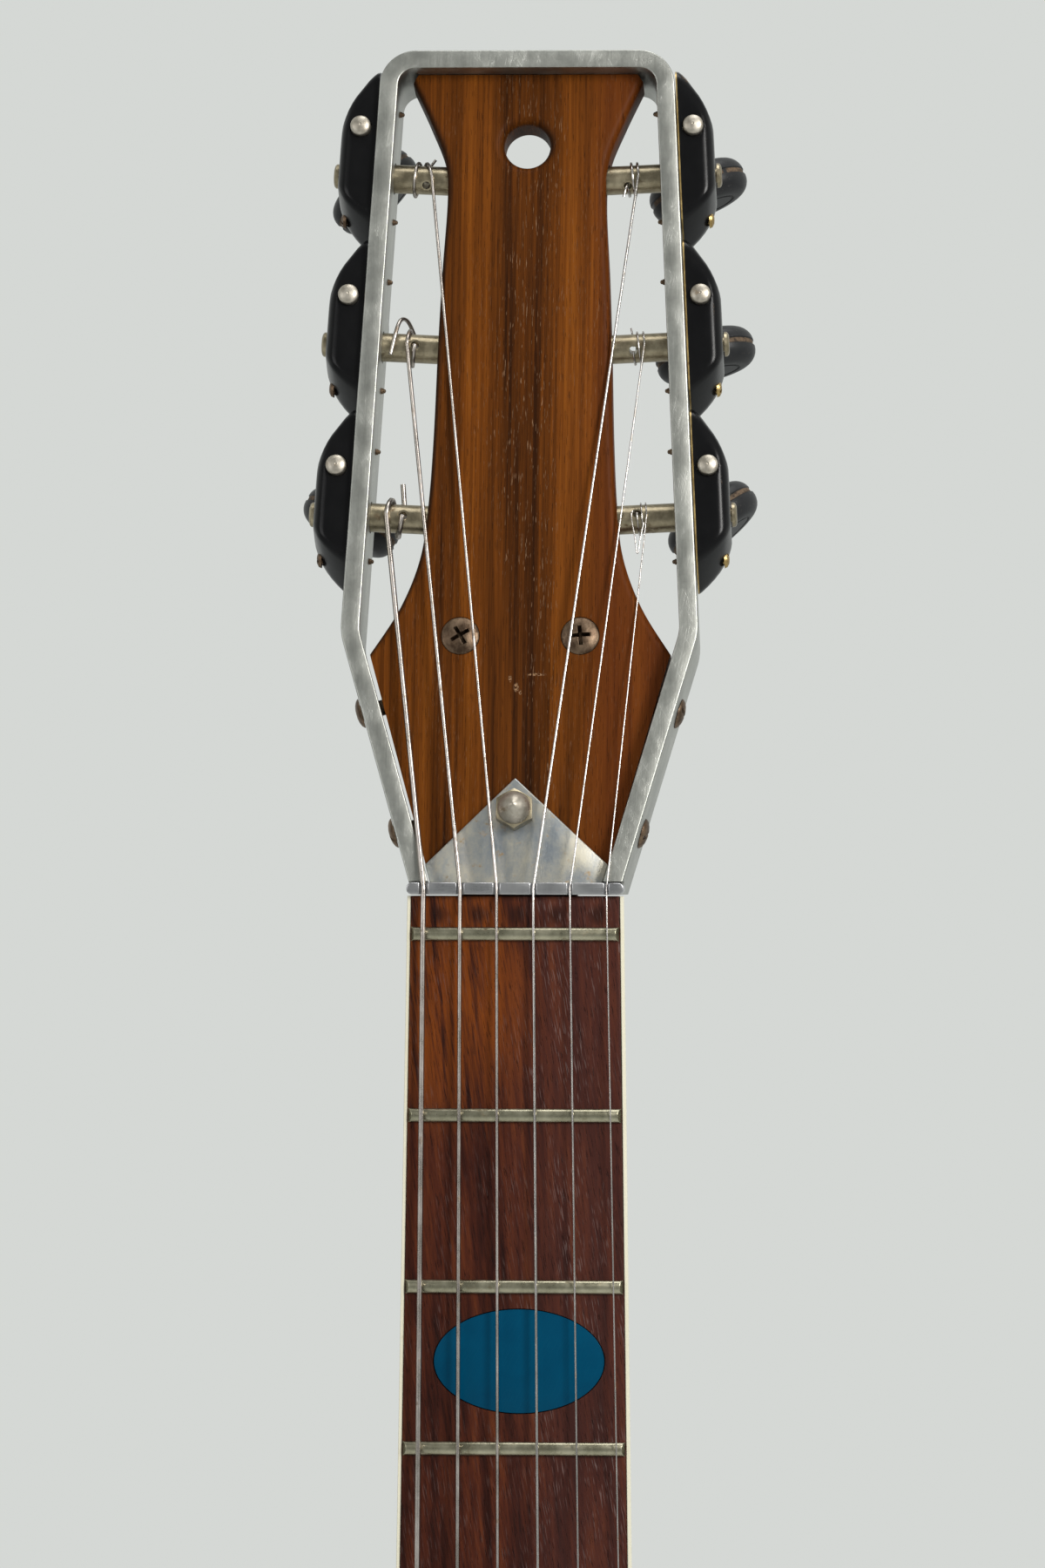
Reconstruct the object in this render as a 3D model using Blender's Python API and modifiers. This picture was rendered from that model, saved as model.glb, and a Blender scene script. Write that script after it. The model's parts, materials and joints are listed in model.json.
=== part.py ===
"""Semi-hollow electric guitar with an open head: a bent alloy strap round a wooden core plate,
six enclosed worm-and-wheel tuners on the strap, a slotted nut plate and a zero fret.

The model is upright, strings towards -Y, neck along +Z. The hole that the guitar hangs from is at
the origin. The neck is laid out from the zero fret and the head from the nut, each in a frame of
its own that an empty carries.
"""

import math

import bmesh
import bpy
from mathutils import Matrix, Vector
from mathutils.geometry import interpolate_bezier

MM = 0.001
BASS, TREBLE = -1, 1

# Clearances
GAP = 0.3 * MM  # between pieces that are screwed or glued together
FIT = 0.1 * MM  # between an inlaid or bound piece and its seat
RUN = 0.35 * MM  # round a shaft or pin, per side
TOUCH = 0.15 * MM  # between a string and what it rests on

# Fretboard, laid out from the zero fret towards the body
SCALE_LENGTH = 648 * MM
FRET_COUNT = 21
BOARD_WIDTH = 42.0 * MM  # at the zero fret
BOARD_TAPER = 0.0281  # widening per unit of length
BOARD_THICK = 5.0 * MM
BOARD_ABOVE = 7.6 * MM  # from the zero fret to the end under the nut
BOARD_BELOW = 12.0 * MM  # past the last fret
FRET_WIDTH = 2.8 * MM
FRET_HEIGHT = 1.2 * MM
FRET_ROOT = 0.6 * MM
FRET_END_SLOPE = 0.6
FRET_SIDES = 3
MARKER_LONG = 34.2 * MM
MARKER_SHORT = 20.8 * MM
MARKER_THICK = 1.4 * MM
MARKER_Z = -85.6 * MM
MARKER_SHIFT = 1.0 * MM
MARKER_GAP = 0.18 * MM

# Neck: an alloy beam in a moulded cover
EDGE_WIDTH = 0.7 * MM  # what shows of the cover beside the board
BEAM_WIDTH = 24.0 * MM
BEAM_DEEP = 12.0 * MM
BEAM_END = -462 * MM
COVER_DEPTH_NUT = 21.0 * MM
COVER_DEPTH_BODY = 24.0 * MM
HEEL_START = -345 * MM
HEEL_DEPTH = 43.0 * MM
HEEL_RISE = 34.0 * MM  # length of the curve from neck to heel
COVER_ARC = 8

# Head: laid out from the nut, along the head and behind the front edge of the strap
HEAD_TILT = math.radians(13)
NUT_Z = 9.7 * MM
HEAD_DROP = 0.4 * MM  # front edge of the strap behind the board's face, at the nut
STRAP_THICK = 3.8 * MM
STRAP_DEEP = 19.0 * MM
STRAP_FOOT = (21.6 * MM, 1.2 * MM)  # half width over the outside, and height
STRAP_BEND = (36.3 * MM, 52.5 * MM)
STRAP_TOP = (30.1 * MM, 177.0 * MM)
STRAP_CORNER = 7.5 * MM  # outside radius at the top
STRAP_BEND_RADIUS = 14.0 * MM
STRAP_EDGE = 0.35 * MM

CORE_RECESS = 4.4 * MM
CORE_THICK = 10.0 * MM
CORE_ROUND = 2.0 * MM
CORE_FOOT = -6.0 * MM  # before the foot is cut level with the board's end
CORE_WAIST = [  # half width and height, from the top corner down to the shoulder
    (23.85 * MM, 171.6 * MM),
    (20.3 * MM, 163.8 * MM),
    (17.1 * MM, 155.4 * MM),
    (16.35 * MM, 147.0 * MM),
    (17.2 * MM, 131.0 * MM),
    (17.8 * MM, 116.0 * MM),
    (18.4 * MM, 96.0 * MM),
    (19.2 * MM, 81.6 * MM),
    (20.7 * MM, 69.8 * MM),
    (24.6 * MM, 59.2 * MM),
    (30.6 * MM, 49.4 * MM),
]
CORE_STEPS = 1
HANG_HOLE_S = 158.0 * MM
HANG_HOLE_RADIUS = 4.7 * MM
HANG_HOLE_ROUND = 1.7 * MM

TONGUE_THICK = 4.0 * MM
TONGUE_TOP = (17.0 * MM, 62.0 * MM)  # half width and height
TONGUE_FOOT = -9.0 * MM

# Nut plate
PLATE_THICK = 1.5 * MM
PLATE_HALF = 21.8 * MM
PLATE_APEX = 23.0 * MM
PLATE_FOOT = -0.5 * MM
PLATE_EDGE_S = 5.0 * MM  # where the plate's slanting sides meet the strap
PLATE_SHIFT = -0.5 * MM  # the plate's point sits towards the bass side
NUT_BAR = 2.4 * MM
NUT_TOP = 1.6 * MM  # above the board
NUT_SLOT_EXTRA = 0.5 * MM
NUT_SLOT_DEEP = 0.75 * MM  # height of a string's underside above the board
ACORN_S = 16.0 * MM
ACORN_FLATS = 7.2 * MM
ACORN_HEX = 3.0 * MM
ACORN_DOME_RADIUS = 3.35 * MM
ACORN_DOME = 3.6 * MM
STUD_RADIUS = 1.9 * MM

# Screws
HEAD_SCREW_AT = (12.2 * MM, 53.0 * MM)
HEAD_SCREW_RADIUS = 3.9 * MM
HEAD_SCREW_CROWN = 0.9 * MM
HEAD_SCREW_SINK = 2.6 * MM
HEAD_SCREW_SHANK = 1.9 * MM
FRAME_SCREW_S = {"upper": 38.0 * MM, "lower": 13.0 * MM}
FRAME_SCREW_RADIUS = 3.2 * MM
FRAME_SCREW_CROWN = 1.5 * MM
FRAME_SCREW_SHANK = 1.6 * MM
FRAME_SCREW_LENGTH = 13.0 * MM

# Tuners: post and wheel turn about an axis across the strap, the worm about one through its depth
TUNER_TOP_S = 152.2 * MM
TUNER_PITCH = 36.4 * MM
POST_DEPTH = 9.0 * MM
POST_RADIUS = 2.95 * MM
POST_SOCKET = 4.5 * MM  # how far the post reaches into the core
POST_HOLE = 0.85 * MM
AXLE_RADIUS = 1.5 * MM
AXLE_CAP_RADIUS = 2.55 * MM
AXLE_CAP = 1.0 * MM
WHEEL_TEETH = 14
WORM_RISE = 8.5 * MM  # worm axis above post axis
WORM_OUT = 3.4 * MM  # worm axis and wheel's middle outside the strap
WORM_PITCH_RADIUS = 2.3 * MM
WORM_CREST = 2.8 * MM
WORM_ROOT = 1.5 * MM
WORM_TURNS = 2.0
WORM_STEPS = 8
WHEEL_THICK = 2.0 * MM
TOOTH_ADDENDUM = 0.45 * MM
TOOTH_DEDENDUM = 0.75 * MM
TOOTH_SHARE = 0.42  # of the circular pitch, at the pitch circle
THREAD_SHARE = 0.28
HOUSING_DEPTH = (1.2 * MM, 16.8 * MM)
HOUSING_HIGH = 7.5 * MM
HOUSING_SHOULDER = 4.8 * MM
HOUSING_WALL = 0.8 * MM
HOUSING_TIP = 21.4 * MM  # above the post axis
HOUSING_TAIL = 18.4 * MM  # below it
SHAFT_END = 2.05 * MM
SHAFT_RADIUS = 1.6 * MM
STEM_RADIUS = 1.9 * MM
STEM_COLLAR = 2.7 * MM
DOME_FRONT = -0.6 * MM
BUTTON_DEPTH = 43.8 * MM
BUTTON_LONG = 22.4 * MM
BUTTON_REACH = 16.5 * MM
BUTTON_THICK = 8.4 * MM
BUTTON_ROUND = 2.4 * MM
BUTTON_SIDES = 12
BUTTON_TURN = {  # how each button has come to rest, as seen from the front
    "bass_1": 42,
    "bass_2": 84,
    "bass_3": -25,
    "treble_1": 20,
    "treble_2": 12,
    "treble_3": 38,
}

# Strings, from the thickest: diameter, tuner, where it leaves the post, where the post's hole is,
# whole turns on the post, and the angle of the hole's mouth from the front
STRINGS = [
    ("string_6", 1.17 * MM, "bass_3", 27.8 * MM, 24.4 * MM, 1, 0),
    ("string_5", 0.91 * MM, "bass_2", 24.2 * MM, 22.6 * MM, 1, 0),
    ("string_4", 0.68 * MM, "bass_1", 19.7 * MM, 20.8 * MM, 1, -40),
    ("string_3", 0.56 * MM, "treble_1", 23.0 * MM, 20.7 * MM, 2, -45),
    ("string_2", 0.40 * MM, "treble_2", 24.6 * MM, 22.2 * MM, 2, -25),
    ("string_1", 0.30 * MM, "treble_3", 25.4 * MM, 23.4 * MM, 2, 10),
]
NUT_SPREAD = 36.7 * MM
BRIDGE_SPREAD = 54.0 * MM
BRIDGE_SHIFT = 4.6 * MM  # the bridge stands towards the treble side
BRIDGE_HEIGHT = 5.2 * MM  # strings above the plane of the board
WIND_GAP = 0.55 * MM  # between neighbouring turns
WIND_CLEAR = 0.2 * MM  # between the turns and the post
LOOP_POINTS = 24
TAIL_STUB = 2.0 * MM

# Body
BODY_FRONT = BOARD_THICK + GAP
BODY_DEEP = 45.0 * MM
PLATE_WALL = 3.0 * MM  # top and back
BODY_WALL = 16.0 * MM
BLOCK_HALF = 78.0 * MM
CHAMBER_ROUND = 12.0 * MM
JOINT_Z = -399 * MM
JOINT_HALF = 29.0 * MM
BODY_OUTLINE = [  # half width and place along the neck, from the neck joint round to the tail
    (40.0 * MM, -392.0 * MM),
    (60.0 * MM, -362.0 * MM),
    (82.0 * MM, -341.0 * MM),
    (108.0 * MM, -336.0 * MM),
    (132.0 * MM, -352.0 * MM),
    (143.0 * MM, -396.0 * MM),
    (133.0 * MM, -458.0 * MM),
    (120.0 * MM, -522.0 * MM),
    (136.0 * MM, -582.0 * MM),
    (176.0 * MM, -632.0 * MM),
    (191.0 * MM, -690.0 * MM),
    (172.0 * MM, -756.0 * MM),
    (118.0 * MM, -797.0 * MM),
    (50.0 * MM, -807.5 * MM),
]
BODY_TAIL = -808.5 * MM
BODY_STEPS = 2
PLATE_EDGE = 1.2 * MM

SOUND_HOLE_AT = (108.0 * MM, -598.0 * MM)
SOUND_HOLE_HALF = 44.0 * MM
SOUND_HOLE_SWAY = 9.0 * MM
SOUND_HOLE_WIDE = 7.0 * MM
SOUND_HOLE_EYE = 6.2 * MM
SOUND_HOLE_LEAN = 0.16
SOUND_HOLE_STEPS = 12

PICKUP_SIZE = (70.0 * MM, 36.0 * MM)
PICKUP_ROUND = 4.0 * MM
PICKUP_DEEP = 15.0 * MM
PICKUP_DROP = 2.4 * MM  # top below the strings
PICKUP_CLEAR = 8.2 * MM  # from the end of the board to the first ring
PICKUP_FROM_BRIDGE = 38.0 * MM
PICKUP_POLE = 2.4 * MM
PICKUP_POLE_HIGH = 0.5 * MM
RING_BORDER = 7.0 * MM
RING_THICK = 3.6 * MM

BRIDGE_BASE = (112.0 * MM, 15.0 * MM, 4.6 * MM)
BRIDGE_BAR = (74.0 * MM, 9.0 * MM)
BRIDGE_POST_SPREAD = 60.0 * MM
BRIDGE_POST_RADIUS = 2.0 * MM
BRIDGE_WHEEL_RADIUS = 6.5 * MM
BRIDGE_WHEEL_THICK = 1.8 * MM

TAIL_BAR_Z = -738 * MM
TAIL_BAR = (66.0 * MM, 9.0 * MM, 8.0 * MM)
TAIL_BAR_Y = -0.4 * MM
TAIL_PLATE_END = -800 * MM
TAIL_PLATE_THICK = 1.8 * MM
TAIL_PLATE_FOOT = 40.0 * MM
TAIL_WINDOW = 0.62  # size of the window in the plate, as a share of the plate

KNOBS = {"volume": (112.0 * MM, -672.0 * MM), "tone": (136.0 * MM, -718.0 * MM)}
KNOB_RADIUS = 12.0 * MM
KNOB_HIGH = 14.0 * MM
KNOB_STEPS = 14
POT_RADIUS = 8.5 * MM
POT_DEEP = 9.0 * MM
POT_BUSH_RADIUS = 4.6 * MM
POT_SHAFT_RADIUS = 3.0 * MM

SWITCH_AT = (104.0 * MM, -404.0 * MM)
SWITCH_LEVER = 17.0 * MM
SWITCH_BUSH_RADIUS = 5.0 * MM
SWITCH_BOX = (14.0 * MM, 30.0 * MM, 16.0 * MM)

JACK_AT = (122.0 * MM, -762.0 * MM)
JACK_BORE = 3.3 * MM
JACK_BARREL = 5.5 * MM
JACK_NUT = 8.0 * MM
JACK_NUT_HIGH = 2.4 * MM
JACK_DEEP = 26.0 * MM

STRAP_BUTTON_RADIUS = 7.0 * MM
STRAP_BUTTON_WAIST = 3.6 * MM
STRAP_BUTTON_HIGH = 12.0 * MM
STRAP_HORN_X = -104.0 * MM

ROUND_STEPS = 14
SMALL_STEPS = 8
POST_STEPS = 10


# Frames and collections
def empty_frame(name, parent, location, rotation=(0, 0, 0)):
    frame = bpy.data.objects.new(name, None)
    frame.parent = parent
    frame.location = location
    frame.rotation_euler = rotation
    parts.objects.link(frame)
    return frame


def head_point(x, depth, s):
    """A point of the head in the neck's frame."""
    turn = Matrix.Rotation(-HEAD_TILT, 3, "X")
    return Vector((0, HEAD_DROP, NUT_Z)) + turn @ Vector((x, depth, s))


for old in list(bpy.data.objects):
    bpy.data.objects.remove(old)
parts = bpy.data.collections.new("semi_hollow_guitar")
cutters = bpy.data.collections.new("cutters")
bpy.context.scene.collection.children.link(parts)
bpy.context.scene.collection.children.link(cutters)

HANG_POINT = head_point(0, CORE_RECESS + CORE_THICK / 2, HANG_HOLE_S)
guitar = empty_frame("guitar", None, -HANG_POINT)
head = empty_frame("head", guitar, (0, HEAD_DROP, NUT_Z), (-HEAD_TILT, 0, 0))


# Materials
def make_material(name, color, roughness, metallic=0.0):
    material = bpy.data.materials.new(name)
    material.use_nodes = True
    shader = material.node_tree.nodes["Principled BSDF"]
    shader.inputs["Base Color"].default_value = (*color, 1)
    shader.inputs["Roughness"].default_value = roughness
    shader.inputs["Metallic"].default_value = metallic
    return material


alloy = make_material("brushed_alloy", (0.58, 0.59, 0.57), 0.38, 1.0)
head_wood = make_material("head_wood", (0.19, 0.062, 0.018), 0.35)
board_wood = make_material("board_wood", (0.09, 0.028, 0.017), 0.45)
cream = make_material("cream_cover", (0.66, 0.62, 0.48), 0.4)
nickel = make_material("aged_nickel", (0.46, 0.42, 0.35), 0.32, 1.0)
steel = make_material("string_steel", (0.55, 0.52, 0.48), 0.3, 1.0)
black_enamel = make_material("black_enamel", (0.008, 0.008, 0.009), 0.14)
button_black = make_material("button_black", (0.02, 0.022, 0.024), 0.22)
brown_screw = make_material("tarnished_screw", (0.16, 0.10, 0.06), 0.5, 1.0)
blue_inlay = make_material("blue_inlay", (0.0, 0.055, 0.11), 0.3)
body_finish = make_material("body_finish", (0.21, 0.05, 0.016), 0.18)
body_wood = make_material("body_wood", (0.42, 0.24, 0.11), 0.6)
black_plastic = make_material("black_plastic", (0.012, 0.012, 0.013), 0.3)


# Building blocks
def add_object(name, mesh, material, parent, location=(0, 0, 0), rotation=(0, 0, 0)):
    obj = bpy.data.objects.new(name, mesh)
    obj.parent = parent
    obj.location = location
    obj.rotation_euler = rotation
    if material:
        mesh.materials.append(material)
        parts.objects.link(obj)
    else:
        hide_as_cutter(obj)
    return obj


def hide_as_cutter(obj):
    for collection in list(obj.users_collection):
        collection.objects.unlink(obj)
    cutters.objects.link(obj)
    obj.hide_render = True
    obj.display_type = "WIRE"


def mesh_from(bm, name):
    bmesh.ops.recalc_face_normals(bm, faces=bm.faces)
    mesh = bpy.data.meshes.new(name)
    bm.to_mesh(mesh)
    bm.free()
    return mesh


def box(bm, low, high):
    """Adds a box between two corners."""
    made = bmesh.ops.create_cube(bm, size=1)["verts"]
    size = [b - a for a, b in zip(low, high)]
    centre = [(a + b) / 2 for a, b in zip(low, high)]
    bmesh.ops.scale(bm, verts=made, vec=size)
    bmesh.ops.translate(bm, verts=made, vec=centre)
    return made


def extrude_outline(bm, points, along, place):
    """Adds a solid: a closed outline of 2D points, placed by a function and pushed along a vector."""
    face = bm.faces.new([bm.verts.new(place(a, b)) for a, b in points])
    pushed = bmesh.ops.extrude_face_region(bm, geom=[face])["geom"]
    moved = [v for v in pushed if isinstance(v, bmesh.types.BMVert)]
    bmesh.ops.translate(bm, verts=moved, vec=along)
    return moved


def plate(name, points, low, high, material, parent, **placing):
    """A flat piece in the plane of X and Z, between two depths along Y."""
    bm = bmesh.new()
    extrude_outline(bm, points, (0, high - low, 0), lambda a, b: (a, low, b))
    return add_object(name, mesh_from(bm, name), material, parent, **placing)


def turned(name, profile, steps, material, parent, **placing):
    """A round piece about its own Z: the profile lists radius and height, from the top down."""
    mesh = bpy.data.meshes.new(name)
    points = [(radius, 0, height) for radius, height in profile]
    mesh.from_pydata(points, [(i, i + 1) for i in range(len(points) - 1)], [])
    obj = add_object(name, mesh, material, parent, **placing)
    screw = obj.modifiers.new("turn", "SCREW")
    screw.steps = screw.render_steps = steps
    screw.use_merge_vertices = True
    screw.merge_threshold = 0.001 * MM
    return obj


def pin(name, radius, low, high, steps, parent, **placing):
    """A round cutter about its own Z."""
    profile = [(0, high), (radius, high), (radius, low), (0, low)]
    return turned(name, profile, steps, None, parent, **placing)


def boolean(target, other, operation):
    modifier = target.modifiers.new(other.name, "BOOLEAN")
    modifier.operation = operation
    modifier.solver = "EXACT"
    modifier.object = other
    if other.name not in cutters.objects:
        hide_as_cutter(other)


def cut(target, *others):
    for other in others:
        boolean(target, other, "DIFFERENCE")


def fuse(target, *others):
    for other in others:
        boolean(target, other, "UNION")


def bevel(obj, width, segments=1, angle=40):
    modifier = obj.modifiers.new("edges", "BEVEL")
    modifier.width = width
    modifier.segments = segments
    modifier.limit_method = "ANGLE"
    modifier.angle_limit = math.radians(angle)


def arc(centre, radius, start, end, steps):
    """Points on an arc, angles in degrees."""
    angles = [math.radians(start + (end - start) * i / steps) for i in range(steps + 1)]
    return [(centre[0] + radius * math.cos(a), centre[1] + radius * math.sin(a)) for a in angles]


def rounded_box(half_x, half_z, radius, steps=3):
    """Outline of a rectangle with round corners, about the origin."""
    points = []
    for sign_x, sign_z, start in ((1, 1, 0), (-1, 1, 90), (-1, -1, 180), (1, -1, 270)):
        centre = (sign_x * (half_x - radius), sign_z * (half_z - radius))
        points += arc(centre, radius, start, start + 90, steps)
    return points


def shifted(points, dx, dz):
    return [(x + dx, z + dz) for x, z in points]


def smooth_line(knots, steps):
    """A smooth open line through its knots."""
    knots = [Vector((x, z, 0)) for x, z in knots]
    line = []
    for i in range(len(knots) - 1):
        before = knots[max(i - 1, 0)]
        after = knots[min(i + 2, len(knots) - 1)]
        first, last = knots[i], knots[i + 1]
        handle_a = first + (last - before) / 6
        handle_b = last - (after - first) / 6
        span = interpolate_bezier(first, handle_a, handle_b, last, steps + 1)
        line += [(p.x, p.y) for p in span[: -1 if i < len(knots) - 2 else None]]
    return line


def rounded_path(corners, radii, steps):
    """A line through its corners, each rounded to its own radius."""
    path = [corners[0]]
    for before, corner, after, radius in zip(corners, corners[1:], corners[2:], radii):
        a = (Vector(before) - Vector(corner)).normalized()
        b = (Vector(after) - Vector(corner)).normalized()
        half = a.angle(b) / 2
        centre = Vector(corner) + (a + b).normalized() * (radius / math.sin(half))
        first = Vector(corner) + a * (radius / math.tan(half)) - centre
        turn = first.angle_signed(Vector(corner) + b * (radius / math.tan(half)) - centre)
        for i in range(steps + 1):
            path.append(tuple(centre + Matrix.Rotation(-turn * i / steps, 2) @ first))
    path.append(corners[-1])
    return path


def both_sides(points):
    """Closes a half outline, which runs from the centre line's top to its foot on the +X side."""
    mirrored = [(-x, z) for x, z in reversed(points) if abs(x) > 0.01 * MM]
    return points + mirrored


# Fretboard
def fret_z(number):
    return -SCALE_LENGTH * (1 - 2 ** (-number / 12))


def board_half(z):
    return (BOARD_WIDTH - BOARD_TAPER * z) / 2


BOARD_END = fret_z(FRET_COUNT) - BOARD_BELOW


def make_fret(bm, number):
    """Adds one fret: a crown of flats, whose ends slope in."""
    z = fret_z(number)
    section = [(FRET_WIDTH / 2, FRET_ROOT)]
    for i in range(FRET_SIDES + 1):
        angle = math.pi * i / FRET_SIDES
        section.append((FRET_WIDTH / 2 * math.cos(angle), -FRET_HEIGHT * math.sin(angle)))
    section.append((-FRET_WIDTH / 2, FRET_ROOT))
    half = board_half(z) - FIT
    ends = []
    for side in (BASS, TREBLE):
        reach = [half + min(y, 0) * FRET_END_SLOPE for _, y in section]
        ends.append([bm.verts.new((side * x, y, z + dz)) for x, (dz, y) in zip(reach, section)])
    edges = []
    for end in ends:
        face = bm.faces.new(end)
        edges += face.edges[:]
    bmesh.ops.bridge_loops(bm, edges=edges)


def make_board():
    outline = [
        (-board_half(BOARD_ABOVE), BOARD_ABOVE),
        (board_half(BOARD_ABOVE), BOARD_ABOVE),
        (board_half(BOARD_END), BOARD_END),
        (-board_half(BOARD_END), BOARD_END),
    ]
    board = plate("fretboard", outline, 0, BOARD_THICK, board_wood, guitar)
    bm = bmesh.new()
    for number in range(FRET_COUNT + 1):
        make_fret(bm, number)
    fuse(board, add_object("frets", mesh_from(bm, "frets"), None, guitar))
    for name, extra, deep in (("marker_seat", MARKER_GAP, FIT), ("marker_inlay", 0, 0)):
        half_x, half_z = MARKER_LONG / 2 + extra, MARKER_SHORT / 2 + extra
        angles = [math.tau * i / 32 for i in range(32)]
        oval = [(half_x * math.cos(a) + MARKER_SHIFT, half_z * math.sin(a) + MARKER_Z) for a in angles]
        low = -MARKER_THICK if extra else 0
        piece = plate(
            name, oval, low, MARKER_THICK + deep, None if extra else blue_inlay, guitar
        )
        if extra:
            cut(board, piece)


make_board()


# Neck
def cover_section(z):
    """The cover's section at one place: outside from the bass edge round the back, then the seat."""
    half = board_half(z) + FIT + EDGE_WIDTH
    grown = max(0.0, min(1.0, (HEEL_START - z) / HEEL_RISE))
    along = (BOARD_ABOVE - z) / (BOARD_ABOVE - JOINT_Z)
    depth = COVER_DEPTH_NUT + (COVER_DEPTH_BODY - COVER_DEPTH_NUT) * along
    depth += (HEEL_DEPTH - depth) * (3 * grown**2 - 2 * grown**3)
    side = BOARD_THICK
    outside = [(-half, 0)]
    for i in range(COVER_ARC + 1):
        angle = math.pi * i / COVER_ARC
        outside.append((-half * math.cos(angle), side + (depth - side) * math.sin(angle) ** 0.8))
    outside.append((half, 0))
    seat_half = board_half(z) + FIT
    channel = BEAM_WIDTH / 2 + FIT
    floor, bottom = BOARD_THICK + FIT, BOARD_THICK + GAP + BEAM_DEEP + FIT
    inside = [(seat_half, 0), (seat_half, floor), (channel, floor), (channel, bottom)]
    inside += [(-x, y) for x, y in reversed(inside)]
    return outside + inside


def make_cover():
    heights = [BOARD_ABOVE, HEEL_START]
    heights += [HEEL_START - HEEL_RISE * i / 4 for i in range(1, 5)]
    heights.append(JOINT_Z + GAP)
    bm = bmesh.new()
    rings = []
    for z in heights:
        points = cover_section(z)
        ring = [bm.verts.new((x, y, z)) for x, y in points]
        rings.append([bm.edges.new((a, b)) for a, b in zip(ring, ring[1:] + ring[:1])])
    for a, b in zip(rings, rings[1:]):
        bmesh.ops.bridge_loops(bm, edges=a + b)
    for ring in (rings[0], rings[-1]):
        bmesh.ops.triangle_fill(bm, edges=ring, use_beauty=True)
    return add_object("neck_cover", mesh_from(bm, "neck_cover"), cream, guitar)


def make_beam():
    """The beam under the board, with the tongue that reaches up behind the head's core."""
    bm = bmesh.new()
    half = BEAM_WIDTH / 2
    top = BOARD_THICK + GAP
    box(bm, (-half, top, BEAM_END), (half, top + BEAM_DEEP, BOARD_ABOVE))
    beam = add_object("neck_beam", mesh_from(bm, "neck_beam"), alloy, guitar)
    low = CORE_RECESS + CORE_THICK + GAP
    foot_half = half - FIT
    outline = [
        (-foot_half, TONGUE_FOOT),
        (-foot_half, -TONGUE_FOOT / 2),
        (-TONGUE_TOP[0], TONGUE_TOP[1] / 2),
        (-TONGUE_TOP[0], TONGUE_TOP[1]),
    ]
    outline += [(-x, s) for x, s in reversed(outline)]
    tongue = plate("beam_tongue", outline, low, low + TONGUE_THICK, None, head)
    fuse(beam, tongue)
    return beam


def make_tongue_way(cover):
    """Room in the cover for the root of the tongue."""
    half = BEAM_WIDTH / 2 + FIT
    low = CORE_RECESS + CORE_THICK
    bm = bmesh.new()
    box(bm, (-half, low, 2 * TONGUE_FOOT), (half, low + 2 * GAP + TONGUE_THICK, -TONGUE_FOOT))
    cut(cover, add_object("tongue_way", mesh_from(bm, "tongue_way"), None, head))


cover = make_cover()
make_tongue_way(cover)
beam = make_beam()


# Head
def strap_half(s):
    """Half width over the outside of the strap."""
    low, high = (STRAP_FOOT, STRAP_BEND) if s < STRAP_BEND[1] else (STRAP_BEND, STRAP_TOP)
    return low[0] + (high[0] - low[0]) * (s - low[1]) / (high[1] - low[1])


UPPER_LEAN = math.atan((STRAP_BEND[0] - STRAP_TOP[0]) / (STRAP_TOP[1] - STRAP_BEND[1]))
LOWER_LEAN = math.atan((STRAP_BEND[0] - STRAP_FOOT[0]) / (STRAP_BEND[1] - STRAP_FOOT[1]))


PLATE_FACE = CORE_RECESS - TOUCH - PLATE_THICK  # depth of the nut plate's front
NUT_WALL_BACK = HEAD_DROP + PLATE_FACE * math.cos(HEAD_TILT) + PLATE_THICK * 0.55
NUT_TOP_Z = BOARD_ABOVE + GAP + NUT_BAR


def strap_inner_half(s):
    lean = LOWER_LEAN if s < STRAP_BEND[1] else UPPER_LEAN
    return strap_half(s) - STRAP_THICK / math.cos(lean)


def strap_edge(inset):
    """One edge of the bent strap, from one foot over the top to the other."""
    inner_top = STRAP_TOP[1] - inset
    upper, lower = inset / math.cos(UPPER_LEAN), inset / math.cos(LOWER_LEAN)
    slope_upper, slope_lower = math.tan(UPPER_LEAN), math.tan(LOWER_LEAN)
    bend_s = STRAP_BEND[1] + (upper - lower) / (slope_upper + slope_lower) * -1
    bend = (STRAP_BEND[0] - upper - slope_upper * (bend_s - STRAP_BEND[1]), bend_s)
    right = [
        (strap_half(CORE_FOOT) - lower, CORE_FOOT),
        bend,
        (STRAP_TOP[0] - upper + slope_upper * inset, inner_top),
    ]
    left = [(-x, s) for x, s in reversed(right)]
    bend_radius, corner = STRAP_BEND_RADIUS - inset, STRAP_CORNER - inset
    return rounded_path(right + left, [bend_radius, corner, corner, bend_radius], 5)


def make_strap():
    outline = strap_edge(0) + list(reversed(strap_edge(STRAP_THICK)))
    strap = plate("head_frame", outline, 0, STRAP_DEEP, alloy, head)
    for name, behind, level in (("foot_on_nut", NUT_WALL_BACK + GAP, NUT_TOP_Z + GAP),
                                ("foot_on_neck", 2 * STRAP_DEEP, BOARD_ABOVE + GAP)):
        bm = bmesh.new()
        half = STRAP_BEND[0]
        box(bm, (-half, -STRAP_DEEP, -STRAP_DEEP), (half, behind, level))
        cut(strap, add_object(name, mesh_from(bm, name), None, guitar))
    bevel(strap, STRAP_EDGE)
    return strap


def core_outline():
    half = [(0, STRAP_TOP[1] - STRAP_THICK - FIT)]
    half.append((CORE_WAIST[0][0] - 1.2 * MM, half[0][1]))
    half += smooth_line(CORE_WAIST, CORE_STEPS)
    half.append((strap_inner_half(CORE_FOOT) - GAP, CORE_FOOT))
    half.append((0, CORE_FOOT))
    return both_sides(half)


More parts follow.
